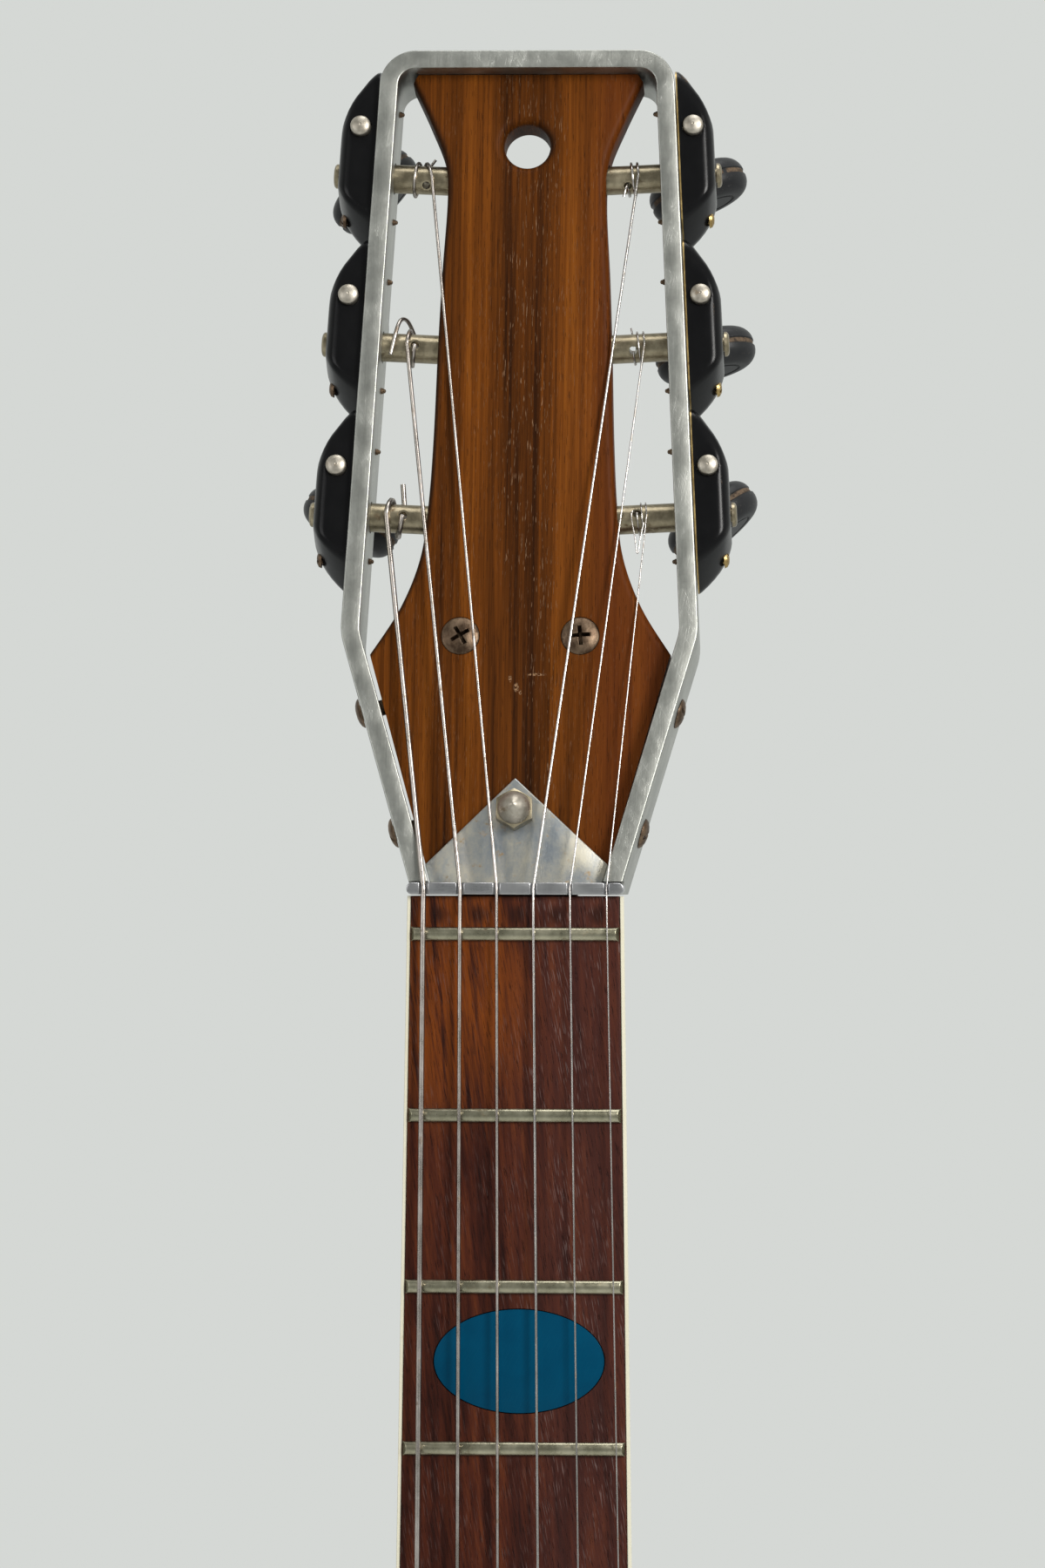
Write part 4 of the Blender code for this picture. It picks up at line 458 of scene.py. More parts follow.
def board_wood_paint():
    paint = Paint("board_wood", roughness=0.42, specular_ior_level=0.09)
    slanted = (0, BOARD_SLANT, 0)
    upright = (0, BOARD_SLANT / 3, 0)
    stripes = paint.noise(on_neck(paint, 5, 20, 70, turn=upright), detail=4, rough=0.6, warp=0.4)
    fine = paint.noise(on_neck(paint, 0.6, 3, 14, turn=slanted), detail=4, rough=0.65)
    across = paint.step(paint.split(on_neck(paint, 1, 1, 1), "X"), -6, 12)
    streaks = paint.noise(on_neck(paint, 1.3, 6, 26, turn=upright), detail=3, rough=0.6, warp=0.3)
    tone = stripes * 0.6 + streaks * 0.36 + fine * 0.34
    color = paint.ramp(tone, (0.50, (0.013, 0.0040, 0.0030)), (0.61, (0.036, 0.0085, 0.0048)),
                       (0.70, (0.064, 0.0150, 0.0065)), (0.82, (0.110, 0.0280, 0.0085)))
    # Painted sheen: the colour turns lighter and greyer towards the treble side, where the board shows a
    # sheen.
    color = paint.mix(across * 0.4, color, (0.058, 0.0215, 0.0180))
    worn = 1 - paint.step(paint.spot(on_neck(paint, 17, 60, 30, (-13, 0, -10))), 0.35, 1.25)
    worn = worn * paint.step(tone, 0.52, 0.74)
    color = paint.mix(worn * 0.85, color, (0.170, 0.040, 0.0034))
    for x in (-15.5, -7.3, 0.4, 8.1, 16.5):
        near = paint.step(paint.spot(on_neck(paint, 1.9, 9, 2.1, (x, 0, 3.9))), 0.25, 1.3)
        color = paint.mix((1 - near) * 0.7, color, (0.012, 0.0045, 0.0035))
    pores = paint.noise(on_neck(paint, 0.24, 1.0, 4.0, turn=slanted), detail=2, rough=0.55)
    pore = paint.step(pores, 0.59, 0.70)
    color = paint.mix(pore * 0.6, color, (0.010, 0.0035, 0.003))
    # Painted highlight: pale slanted glints in patches, more of them towards the treble side.
    glint = paint.noise(on_neck(paint, 0.24, 1.0, 3.6, (3, 0, 7), slanted), detail=1)
    patch = paint.noise(on_neck(paint, 6, 9, 22, (8, 0, 11), slanted), detail=2)
    sheen = paint.step(glint, 0.56, 0.68) * paint.step(patch, 0.42, 0.62) * (across * 0.55 + 0.45)
    color = paint.mix(sheen * 0.55, color, (0.155, 0.105, 0.095))
    paint.feed("base_color", color)
    paint.feed("roughness", 0.50 - fine * 0.16 - sheen * 0.12)
    paint.bump(fine * 0.3 - pore * 0.8, 0.16 * MM)
    return paint


board_wood = board_wood_paint()
print("nodes in the board's paint:", len(board_wood.material.node_tree.nodes))


# %% [markdown]
# ## Metals
#
# Five bare metals share one recipe: a colour that drifts between two tones, a roughness that
# drifts with it, and fine marks. They differ in tone, in how bright they are, and in their marks.
# The strap was brushed along its length and then scratched by sixty years of cases and stands; the
# frets are a nickel alloy gone greenish; the screws have rusted brown.

# %% Metal paints
def metal(name, dark, light, roughness, frame_of=on_head, cloud=9.0, brush=None, scratch=0.0,
          stain=None, bump=0.02):
    """A bare metal. brush is the size of its grain, in mm, and stain a colour for its spots."""
    paint = Paint(name, roughness=roughness, metallic=1.0)
    clouds = paint.noise(frame_of(paint, cloud, cloud, cloud * 1.6), detail=4, rough=0.6)
    specks = paint.noise(frame_of(paint, 0.7, 0.7, 0.7), detail=3, rough=0.7)
    grain = paint.noise(frame_of(paint, *(brush or (0.25, 0.25, 0.25))), detail=3, rough=0.6)
    color = paint.mix(paint.step(clouds * 0.8 + specks * 0.2, 0.32, 0.68), dark, light)
    gloss = roughness + (clouds - 0.5) * 0.22 + (grain - 0.5) * 0.18
    height = grain * 0.6 + specks * 0.3
    if scratch:
        for number, (tilt, seed) in enumerate(((0.75, 3), (-0.55, 11), (0.2, 23))):
            where = paint.coords((0.09 * MM, 9 * MM, 7.5 * MM), tuple(HEAD @ Vector((seed * MM,) * 3)),
                                 (HEAD_TURN[0], tilt, 0))
            line = paint.step(paint.noise(where, detail=0.0), 0.71 + 0.008 * number, 0.75)
            line = line * paint.step(clouds, 0.42, 0.62)
            color = paint.mix(line * scratch, color, (0.66, 0.66, 0.65))
            height = height - line * 0.25
    if stain:
        spots = paint.noise(frame_of(paint, 3.4, 3.4, 3.0, (50, 20, 9)), detail=5, rough=0.65)
        spot = paint.step(spots, 0.57, 0.70)
        color = paint.mix(spot * 0.85, color, stain)
        gloss = gloss + spot * 0.2
    paint.feed("base_color", color)
    paint.feed("roughness", gloss)
    paint.bump(height, bump * MM)
    return paint


strap_alloy = metal("strap_alloy", (0.31, 0.315, 0.29), (0.44, 0.445, 0.41), 0.42, cloud=6.0,
                    brush=(0.3, 0.5, 9), scratch=0.22, bump=0.02)
plate_alloy = metal("plate_alloy", (0.34, 0.375, 0.41), (0.60, 0.565, 0.465), 0.40, cloud=5.5,
                    brush=(0.4, 0.4, 0.4), stain=(0.36, 0.235, 0.10), bump=0.02)
bar_alloy = metal("bar_alloy", (0.40, 0.40, 0.415), (0.50, 0.50, 0.505), 0.30, cloud=8.0,
                  brush=(4, 0.4, 0.12), bump=0.012)
beam_alloy = metal("beam_alloy", (0.42, 0.42, 0.41), (0.52, 0.52, 0.50), 0.45, brush=(0.3, 3, 3))
fret_metal = metal("fret_metal", (0.26, 0.245, 0.17), (0.44, 0.415, 0.305), 0.31, on_neck, 4.0,
                   (0.5, 0.3, 0.3), stain=(0.20, 0.17, 0.11), bump=0.015)
post_nickel = metal("post_nickel", (0.225, 0.190, 0.125), (0.40, 0.345, 0.24), 0.36, cloud=2.2,
                    brush=(0.12, 2, 2), stain=(0.15, 0.105, 0.06), bump=0.012)
bright_nickel = metal("bright_nickel", (0.50, 0.46, 0.40), (0.66, 0.62, 0.55), 0.24, cloud=3.0,
                      brush=(0.15, 0.15, 0.15), stain=(0.33, 0.25, 0.15), bump=0.01)
brown_screw = metal("brown_screw", (0.075, 0.047, 0.030), (0.225, 0.158, 0.105), 0.44, cloud=1.6,
                    stain=(0.065, 0.038, 0.022), bump=0.06)
dull_nickel = metal("dull_nickel", (0.35, 0.315, 0.26), (0.54, 0.50, 0.43), 0.46, cloud=2.0,
                    brush=(0.2, 0.2, 0.2), stain=(0.25, 0.19, 0.125), bump=0.012)
brass = metal("brass", (0.30, 0.20, 0.075), (0.50, 0.37, 0.16), 0.40, cloud=1.5,
              stain=(0.14, 0.08, 0.035), bump=0.03)
string_steel = metal("string_steel", (0.50, 0.475, 0.45), (0.66, 0.63, 0.60), 0.24, on_neck, 6.0,
                     stain=(0.34, 0.28, 0.21), bump=0.004)
wound_steel = metal("wound_steel", (0.40, 0.36, 0.325), (0.60, 0.55, 0.51), 0.30, on_neck, 5.0,
                    stain=(0.24, 0.18, 0.13), bump=0.004)
chrome = metal("chrome", (0.52, 0.52, 0.51), (0.66, 0.66, 0.65), 0.14, on_neck, 14.0, bump=0.004)
print("paints so far:", len(bpy.data.materials))

# %% [markdown]
# ## Enamel, plastics and lacquer
#
# The covers are stoved black enamel over brass: very glossy, chipped to brown metal along some
# edges. The buttons are a dense black plastic, a little greyer and less mirror-like. The neck's
# cover is cream, and the inlay a deep petrol blue under a clear face.

# %% Coloured paints
def enamel_paint():
    paint = Paint("black_enamel", roughness=0.13, specular_ior_level=0.17)
    waves = paint.noise(on_head(paint, 3, 3, 4), detail=2)
    chips = paint.noise(on_head(paint, 0.6, 0.6, 0.9, (4, 8, 2)), detail=4, rough=0.7)
    edge = paint.step(paint.add("NewGeometry", out=7), 0.53, 0.58)
    flat = on_head(paint, 1, 1, 1)
    rise = (paint.add("Math", {"operation": "ABSOLUTE"}, paint.split(flat, "X"))
            + paint.split(flat, "Z") * 0.0498)
    tip = paint.spot(on_head(paint, 1.5, 5, 2.0, (33.2, 4, 172.6)))
    worn = edge * paint.step(rise, 44.6, 45.6)
    chip = worn * paint.step(chips, 0.53, 0.58) + (1 - paint.step(tip, 0.4, 1.2)) * paint.step(
        chips, 0.46, 0.53)
    color = paint.mix(waves, (0.0026, 0.0026, 0.0030), (0.0045, 0.0045, 0.0048))
    paint.feed("base_color", paint.mix(chip, color, (0.15, 0.085, 0.035)))
    paint.feed("roughness", 0.20 + waves * 0.10 + chip * 0.3)
    paint.bump(waves * 0.5 - chip * 0.5, 0.05 * MM)
    return paint


def button_paint():
    paint = Paint("button_black", roughness=0.26, specular_ior_level=0.2)
    clouds = paint.noise(on_head(paint, 4, 4, 4), detail=4, rough=0.6)
    dust = paint.noise(on_head(paint, 0.35, 0.35, 0.35), detail=3)
    color = paint.mix(clouds, (0.010, 0.010, 0.011), (0.022, 0.023, 0.024))
    paint.feed("base_color", paint.mix(paint.step(dust, 0.66, 0.72) * 0.4, color, (0.15, 0.14, 0.12)))
    paint.feed("roughness", 0.30 + clouds * 0.16)
    paint.bump(clouds + dust * 0.15, 0.03 * MM)
    return paint


def groove_paint():
    paint = Paint("button_groove", roughness=0.6, specular_ior_level=0.1)
    dirt = paint.noise(on_head(paint, 1, 1, 1), detail=4, rough=0.7)
    paint.feed("base_color", paint.mix(paint.step(dirt, 0.35, 0.6), (0.03, 0.022, 0.016),
                                       (0.115, 0.08, 0.052)))
    paint.bump(dirt, 0.02 * MM)
    return paint


def cream_paint():
    paint = Paint("cream_cover", roughness=0.32, coat_weight=0.3, coat_roughness=0.1)
    clouds = paint.noise(on_neck(paint, 25, 25, 60), detail=4, rough=0.6)
    grime = paint.noise(on_neck(paint, 1.2, 1.2, 5), detail=4, rough=0.7)
    color = paint.mix(clouds, (0.60, 0.555, 0.40), (0.72, 0.69, 0.56))
    paint.feed("base_color", paint.mix(paint.step(grime, 0.58, 0.75) * 0.5, color, (0.40, 0.33, 0.20)))
    paint.feed("roughness", 0.24 + clouds * 0.16)
    paint.bump(grime, 0.02 * MM)
    return paint


def inlay_paint():
    paint = Paint("blue_inlay", roughness=0.24, specular_ior_level=0.06)
    clouds = paint.noise(on_neck(paint, 6, 6, 6), detail=3)
    rub = paint.noise(on_neck(paint, 0.25, 2, 6, turn=(0, 0.5, 0)), detail=2)
    color = paint.mix(clouds, (0.0, 0.036, 0.078), (0.0, 0.054, 0.108))
    paint.feed("base_color", color)
    paint.feed("roughness", 0.18 + rub * 0.16)
    paint.bump(rub, 0.01 * MM)
    return paint


def plastic_paint(name, dark, light, roughness):
    paint = Paint(name, roughness=roughness)
    clouds = paint.noise(on_neck(paint, 8, 8, 8), detail=3)
    fine = paint.noise(on_neck(paint, 0.4, 0.4, 0.4), detail=2)
    paint.feed("base_color", paint.mix(clouds, dark, light))
    paint.feed("roughness", roughness - 0.05 + clouds * 0.1)
    paint.bump(fine, 0.01 * MM)
    return paint


black_enamel = enamel_paint()
button_black = button_paint()
groove_brown = groove_paint()
cream = cream_paint()
blue_inlay = inlay_paint()
black_plastic = plastic_paint("black_plastic", (0.010, 0.010, 0.011), (0.022, 0.022, 0.022), 0.3)
ivory_plastic = plastic_paint("ivory_plastic", (0.58, 0.53, 0.38), (0.70, 0.66, 0.52), 0.3)
print("paints so far:", len(bpy.data.materials))

# %% [markdown]
# The body is outside the photograph. It gets what goes with the head: a figured veneer under a
# translucent brown-red lacquer, shaded darker towards the rim, and bare spruce inside. The shading
# follows the outline well enough as the distance from two centres, one in each bout.

# %% Paints for the body
UPPER_BOUT, WAIST, LOWER_BOUT = (0, 0, -420), (0, 0, -545), (0, 0, -672)


def body_paint():
    paint = Paint("body_lacquer", roughness=0.16, coat_weight=0.8, coat_roughness=0.06)
    grain = paint.noise(on_neck(paint, 3.2, 12, 130), detail=5, rough=0.6, warp=0.3)
    figure = paint.noise(on_neck(paint, 60, 60, 9, turn=(0, 0.25, 0)), detail=3)
    fine = paint.noise(on_neck(paint, 0.5, 1, 12), detail=3)
    tone = grain * 0.65 + figure * 0.25 + fine * 0.2
    color = paint.ramp(tone, (0.34, (0.060, 0.016, 0.007)), (0.52, (0.150, 0.040, 0.010)),
                       (0.70, (0.290, 0.092, 0.020)))
    upper = paint.step(paint.spot(on_neck(paint, 140, 400, 105, UPPER_BOUT)), 0.55, 1.0)
    lower = paint.step(paint.spot(on_neck(paint, 188, 400, 140, LOWER_BOUT)), 0.62, 1.0)
    waist = paint.step(paint.spot(on_neck(paint, 112, 400, 165, WAIST)), 0.50, 1.0)
    rim = upper * lower * waist
    color = paint.mix(rim * 0.88, color, (0.018, 0.005, 0.004))
    paint.feed("base_color", color)
    paint.feed("roughness", 0.15 + fine * 0.06)
    paint.bump(fine * 0.3 + grain * 0.3, 0.015 * MM)
    return paint


def bare_wood_paint():
    paint = Paint("bare_spruce", roughness=0.65)
    grain = paint.noise(on_neck(paint, 1.6, 6, 150), detail=4, rough=0.6)
    fine = paint.noise(on_neck(paint, 0.4, 1, 14), detail=3)
    paint.feed("base_color", paint.ramp(grain * 0.7 + fine * 0.3, (0.32, (0.24, 0.125, 0.052)),
                                        (0.68, (0.47, 0.30, 0.15))))
    paint.feed("roughness", 0.55 + fine * 0.2)
    paint.bump(grain + fine * 0.5, 0.05 * MM)
    return paint


body_lacquer = body_paint()
bare_wood = bare_wood_paint()
print("paints:", len(bpy.data.materials))

# %% [markdown]
# ## The strap
#
# One flat bar of alloy, 3.8 mm thick and 19 mm deep, bent over four formers: two wide bends where
# the head is broadest and two tight ones at the top. Its feet stand on the nut. It is drawn as
# the bar's two edges, so the thickness stays even round every bend, then pushed back to its depth.
# The holes for the string posts go through it, because they can be seen from inside the head.

# %% Bend the strap
STRAP_THICK, STRAP_DEEP = 3.8 * MM, 19.0 * MM
FOOT, BEND, TOP = (21.6 * MM, 1.2 * MM), (36.3 * MM, 52.5 * MM), (30.1 * MM, 177.0 * MM)
UPPER_LEAN = math.atan((BEND[0] - TOP[0]) / (TOP[1] - BEND[1]))
LOWER_LEAN = math.atan((BEND[0] - FOOT[0]) / (BEND[1] - FOOT[1]))
BOARD_ABOVE, GAP = 7.6 * MM, 0.3 * MM
PLATE_FACE = CORE_FRONT - 1.65 * MM
WALL_BACK = HEAD_DROP + PLATE_FACE * math.cos(HEAD_LEAN) + 0.825 * MM
POST_DEPTH = 9.0 * MM
QUARTER = math.pi / 2


def strap_half(s):
    """Half the width over the outside of the strap, at a height on the head."""
    (x0, s0), (x1, s1) = (FOOT, BEND) if s < BEND[1] else (BEND, TOP)
    return x0 + (x1 - x0) * (s - s0) / (s1 - s0)


def inner_half(s):
    return strap_half(s) - STRAP_THICK / math.cos(LOWER_LEAN if s < BEND[1] else UPPER_LEAN)


def strap_line(inset):
    """One edge of the bar, from foot to foot."""
    upper, lower = inset / math.cos(UPPER_LEAN), inset / math.cos(LOWER_LEAN)
    slopes = math.tan(UPPER_LEAN), math.tan(LOWER_LEAN)
    shift = (lower - upper) / sum(slopes)
    right = [(strap_half(-6 * MM) - lower, -6 * MM),
             (BEND[0] - upper - slopes[0] * shift, BEND[1] + shift),
             (TOP[0] - upper + slopes[0] * inset, TOP[1] - inset)]
    left = [(-x, s) for x, s in reversed(right)]
    wide, tight = 14 * MM - inset, 7.5 * MM - inset
    return rounded_path(right + left, [wide, tight, tight, wide], 18)


def rod(radius, low, high, place, steps=32):
    """A plain rod along the Z of a frame, used as a drill."""
    return moved(turned([(0, high), (radius, high), (radius, low), (0, low)], steps), place)


def tapered(low, high, share):
    """A block whose lower end is drawn in to a share of its width."""
    bm = block(low, high)
    foot = [v for v in bm.verts if v.co.z < (low[2] + high[2]) / 2]
    bmesh.ops.scale(bm, verts=foot, vec=(share, share, 1))
    return bm


def mm_list(pairs):
    return [tuple(v * MM for v in pair) for pair in pairs]


CORE_WAIST = mm_list([(23.85, 171.6), (20.3, 163.8), (17.1, 155.4), (16.35, 147.0), (17.2, 131.0),
                      (17.8, 116.0), (18.4, 96.0), (19.2, 81.6), (20.7, 69.8), (24.6, 59.2),
                      (30.6, 49.4)])
TUNERS, POST_FRAMES, SOCKETS = {}, {}, {}
for word, side in (("bass", BASS), ("treble", TREBLE)):
    for number in (1, 2, 3):
        key, s = f"{word}_{number}", (152.2 - 36.4 * (number - 1)) * MM
        place = HEAD @ Matrix.Translation((side * strap_half(s), 0, s))
        place = place @ Matrix.Rotation(-side * UPPER_LEAN, 4, "Y")
        TUNERS[key] = (side, s, place)
        POST_FRAMES[key] = (place @ Matrix.Translation((0, POST_DEPTH, 0))
                            @ Matrix.Rotation(side * QUARTER, 4, "Y"))
        core_half = next(x for x, high in smooth_line(CORE_WAIST, 4) if high <= s)
        SOCKETS[key] = strap_half(s) - core_half + 4.5 * MM

SIDE_SCREWS = {}
for word, side in (("bass", BASS), ("treble", TREBLE)):
    for row, s in (("upper", 38 * MM), ("lower", 13 * MM)):
        x = side * (strap_half(s) + 0.1 * MM / math.cos(LOWER_LEAN))
        place = HEAD @ Matrix.Translation((x, STRAP_DEEP / 2, s))
        place = place @ Matrix.Rotation(side * (QUARTER + LOWER_LEAN), 4, "Y")
        SIDE_SCREWS[f"frame_screw_{word}_{row}"] = place
FRONT_SCREWS = {"bass": (-12.2, 31), "treble": (12.2, 5)}


def on_front(x, depth, s, turn=0):
    """Where on the head a thing goes whose Z points out of the front."""
    place = Matrix.Translation((x, depth, s)) @ Matrix.Rotation(QUARTER, 4, "X")
    return place @ Matrix.Rotation(math.radians(turn), 4, "Z")


strap = softened(outlined(strap_line(0) + strap_line(STRAP_THICK)[::-1], 0, STRAP_DEEP), 0.3 * MM)
foot_level = BOARD_ABOVE + GAP
from_neck = HEAD.inverted() @ NECK
on_nut = block((-0.04, -0.03, -0.03), (0.04, WALL_BACK + GAP, foot_level + 2.7 * MM))
on_neck = block((-0.04, -0.03, -0.03), (0.04, 0.04, foot_level))
drills = [rod(3.3 * MM, -SOCKETS[key] - GAP, MM, POST_FRAMES[key]) for key in TUNERS]
drills += [rod(1.9 * MM, -13.3 * MM, 2 * MM, place, 20) for place in SIDE_SCREWS.values()]
drills = [moved(drill, HEAD.inverted()) for drill in drills]
strap = carved(strap, moved(on_nut, from_neck), moved(on_neck, from_neck),
               joined(*[drill.copy() for drill in drills]))
piece("head_strap", strap, HEAD, strap_alloy, stands_for="head_frame")

# %% [markdown]
# ## The core
#
# The core is 10 mm thick. Its top fills the strap from side to side, its waist leaves the gap that
# the posts cross, and its shoulders run back out to the strap. A router with a rounding cutter
# went along the waist only: the top edge is still crisp. The guitar hangs from the hole at the
# top, whose mouth is rounded over in the same way.

# %% Cut the core
half = [(22.65 * MM, 173.1 * MM)] + smooth_line(CORE_WAIST, 8)
half += [(inner_half(-6 * MM) - GAP, -6 * MM)]
foot = block((-0.04, -0.04, -0.05), (0.04, 0.05, foot_level))
core = carved(outlined(both_sides(half), CORE_FRONT, CORE_BACK), moved(foot, from_neck))


def on_waist(edge):
    """Edges of the front and back that run along the waist."""
    a, b = (v.co for v in edge.verts)
    return (abs(a.y - b.y) < 0.1 * MM and abs(a.x) + abs(b.x) > MM
            and all(49.3 * MM < v.z < 171.7 * MM for v in (a, b)))


core = softened(core, 2 * MM, 6, 60, on_waist)
mouth = [(4.7 * MM + 2.2 * MM * (1 - math.sin(a)), 2.2 * MM * (1 - math.cos(a)))
         for a in (QUARTER * i / 10 for i in range(11))]
profile = [(0, CORE_BACK + MM), (mouth[0][0], CORE_BACK + MM)]
profile += [(r, CORE_BACK - y) for r, y in mouth] + [(r, CORE_FRONT + y) for r, y in mouth[::-1]]
profile += [(mouth[0][0], CORE_FRONT - MM), (0, CORE_FRONT - MM)]
hang = moved(turned(profile, 64), Matrix.Translation((0, 0, HANG_HOLE_S))
             @ Matrix.Rotation(-QUARTER, 4, "X"))
seat = mm_list([(0, 2), (4, 2), (4, -0.1), (2, -2.8), (2, -15), (0, -15)])
for x, turn in FRONT_SCREWS.values():
    drills.append(moved(turned(seat), on_front(x * MM, CORE_FRONT, 53 * MM)))
stud_hole = rod(2.25 * MM, -0.03, 4 * MM, on_front(-0.5 * MM, PLATE_FACE, 16 * MM))
core = carved(core, hang, joined(*drills, stud_hole.copy()))
piece("head_core", core, HEAD, head_wood, stands_for="head_core", smooth=30)

# %% [markdown]
# ## Nut plate, acorn nut and screws
#
# A triangular plate covers the foot of the core, and its bar carries the strings over the end of
# the board. Its six slots are sawn wider than the strings, so the strings rest on the zero fret
# and the bar only spaces them. The acorn nut is a hexagon with its corners turned off and a dome
# on top. The screws are turned, then their slots are cut: that is the order in the factory too.

# %% Make the nut plate and its nut
STRING_WIDE = [1.17, 0.91, 0.68, 0.56, 0.40, 0.30]
NUT_SPREAD = 36.7 * MM
shoulder, low_edge = inner_half(5 * MM) - GAP, inner_half(-0.5 * MM) - GAP
plate = [(-0.5 * MM, 23 * MM), (shoulder, 5 * MM), (low_edge, -0.5 * MM), (-low_edge, -0.5 * MM),
         (-shoulder, 5 * MM)]
plate = softened(outlined(plate, PLATE_FACE, PLATE_FACE + 1.5 * MM), 0.3 * MM)
piece("nut_plate_face", carved(plate, stud_hole), HEAD, plate_alloy, stands_for="nut_plate")

bar_z = foot_level + 1.2 * MM
bar = outlined(rounded_box(21.8 * MM, 1.2 * MM, 1.1 * MM, 8, (0, bar_z)), -1.6 * MM, WALL_BACK)
slots = []
for index, wide in enumerate(STRING_WIDE):
    x = NUT_SPREAD * (index / 5 - 0.5)
    half_wide = (wide + 0.5) / 2 * MM
    slots.append(block((x - half_wide, -4 * MM, bar_z - 4 * MM),
                       (x + half_wide, -0.45 * MM, bar_z + 4 * MM)))
bar = softened(carved(bar, joined(*slots)), 0.22 * MM, 3, 50, lambda e: min(v.co.y for v in e.verts)
               < -0.6 * MM)
piece("nut_bar", bar, NECK, bar_alloy, stands_for="nut_plate", smooth=40)

hexagon = [(4.157 * MM * math.cos(a), 4.157 * MM * math.sin(a))
           for a in (QUARTER + math.pi / 3 * i for i in range(6))]
nut = moved(outlined(hexagon, 0, 3 * MM), Matrix.Rotation(QUARTER, 4, "X"))
nut = carved(nut, turned(mm_list([(0, 3), (3.45, 3), (4.25, 2.5), (4.25, 0.4), (3.6, 0), (0, 0)]), 48),
             how="INTERSECT")
dome = [(3.35 * (1 - u ** 1.5) ** 0.5 * (1 - 0.16 * u), 3 + 3.3 * u)
        for u in (1 - (i / 16) ** 2 for i in range(17))]
dome = [(r, high + 0.3 * max(0, 1 - r / 1.2)) for r, high in dome]
deep = (CORE_FRONT + 14 * MM - PLATE_FACE) / MM
dome[0] = (0, dome[0][1])
dome += [(3.35, 1), (1.9, 1), (1.9, -deep), (0, -deep)]
nut = carved(nut, turned(mm_list(dome), 48), how="UNION")
piece("acorn_nut", nut, HEAD @ on_front(-0.5 * MM, PLATE_FACE - 0.15 * MM, 16 * MM),
      (dull_nickel, post_nickel), stands_for="acorn_nut", smooth=28,
      pick=lambda at: at.z < 3.1 * MM)

# %% Turn the screws, then cut their slots
for word, (x, turn) in FRONT_SCREWS.items():
    screw = turned(mm_list([(0, 0.9), (0.9, 0.87), (1.9, 0.72), (2.8, 0.46), (3.5, 0.18), (3.82, 0.02),
                            (3.9, -0.12), (1.9, -2.5), (1.9, -14), (0, -14)]), 48)
    wings = [tapered(mm_list([(-a, -b, -1.7)])[0], mm_list([(a, b, 1.2)])[0], 0.55)
             for a, b in ((2.25, 0.42), (0.42, 2.25))]
    screw = softened(carved(screw, *wings), 0.08 * MM, 2, 50,
                     lambda e: all(v.co.z > 0.3 * MM for v in e.verts))
    piece(f"head_screw_{word}", screw, HEAD @ on_front(x * MM, CORE_FRONT, 53 * MM, turn), brown_screw,
          stands_for=f"head_screw_{word}")
for number, (name, place) in enumerate(SIDE_SCREWS.items()):
    screw = turned(mm_list([(0, 1.2), (0.9, 1.15), (1.8, 0.96), (2.6, 0.6), (3.0, 0.2), (3.1, 0),
                            (1.6, 0), (1.6, -13), (0, -13)]), 40)
    saw = block(mm_list([(-4, -0.4, 0.55)])[0], mm_list([(4, 0.4, 3)])[0])
    screw = softened(carved(screw, saw), 0.08 * MM, 2, 50,
                     lambda e: all(v.co.z > 0.28 * MM for v in e.verts))
    piece(name, screw, place @ Matrix.Rotation(0.7 * number, 4, "Z"), brown_screw, stands_for=name)

# %% [markdown]
# ## Tuner covers
#
# Each cover was pressed from thin brass sheet over a former, which drew its crown in and left a
# ridge that sweeps from the crown down to the strap. It is made here in the same spirit: one
# outline at many levels above the strap, each a little smaller, joined up and given a wall. The
# worm's end shows through a hole in its front and the post's axle through one in its crown.

# %% Press the covers
def chamfered(points, share, times):
    """Cuts the corners of a closed outline again and again, which rounds it."""
    for _ in range(times):
        pairs = zip(points, points[1:] + points[:1])
        points = [p for a, b in pairs for p in (a.lerp(b, share), a.lerp(b, 1 - share))]
    return points


COVER_OUTLINE = chamfered([Vector(p) for p in (
    (-1, 0.70), (-1, 0), (-1, -0.68), (-0.3, -0.84), (0.45, -1), (1, -0.84), (1, 0), (1, 0.6),
    (0.42, 0.87), (-0.5, 1), (-0.9, 0.93))], 0.16, 3)
COVER_LEVELS = [  # above the strap, then shares of the depth, the tip and the tail
    (0.15, 0.985, 1.02, 0.86), (0.45, 0.985, 1.02, 0.855), (0.9, 0.98, 1.015, 0.84),
    (1.5, 0.98, 0.99, 0.81), (2.4, 0.985, 0.94, 0.765), (3.7, 0.995, 0.845, 0.69),
    (4.8, 1.0, 0.765, 0.615), (5.6, 0.985, 0.695, 0.55), (6.3, 0.94, 0.62, 0.485),
    (6.9, 0.86, 0.54, 0.41), (7.3, 0.76, 0.475, 0.35), (7.5, 0.64, 0.42, 0.30)]
WORM_RISE, WORM_OUT = 8.5 * MM, 3.4 * MM


def pressed_cover(side, inset):
    """The cover's outside, or with an inset its inside."""
    bm = bmesh.new()
    rings = []
    for out, deep, tip, tail in COVER_LEVELS:
        out = out * MM - (inset if out > 1 else 0)
        ring = []
        for d, t in COVER_OUTLINE:
            reach = 21.4 * MM * tip if t > 0 else 18.4 * MM * tail
            ring.append(bm.verts.new((side * out, 9 * MM + d * (7.8 * MM * deep - inset),
                                      t * (reach - inset))))
        rings.append([bm.edges.new(pair) for pair in zip(ring, ring[1:] + ring[:1])])
    for a, b in zip(rings, rings[1:]):
        bmesh.ops.bridge_loops(bm, edges=a + b)
    bmesh.ops.contextual_create(bm, geom=rings[-1])
    bmesh.ops.contextual_create(bm, geom=rings[0])
    bmesh.ops.recalc_face_normals(bm, faces=bm.faces)
    return bm


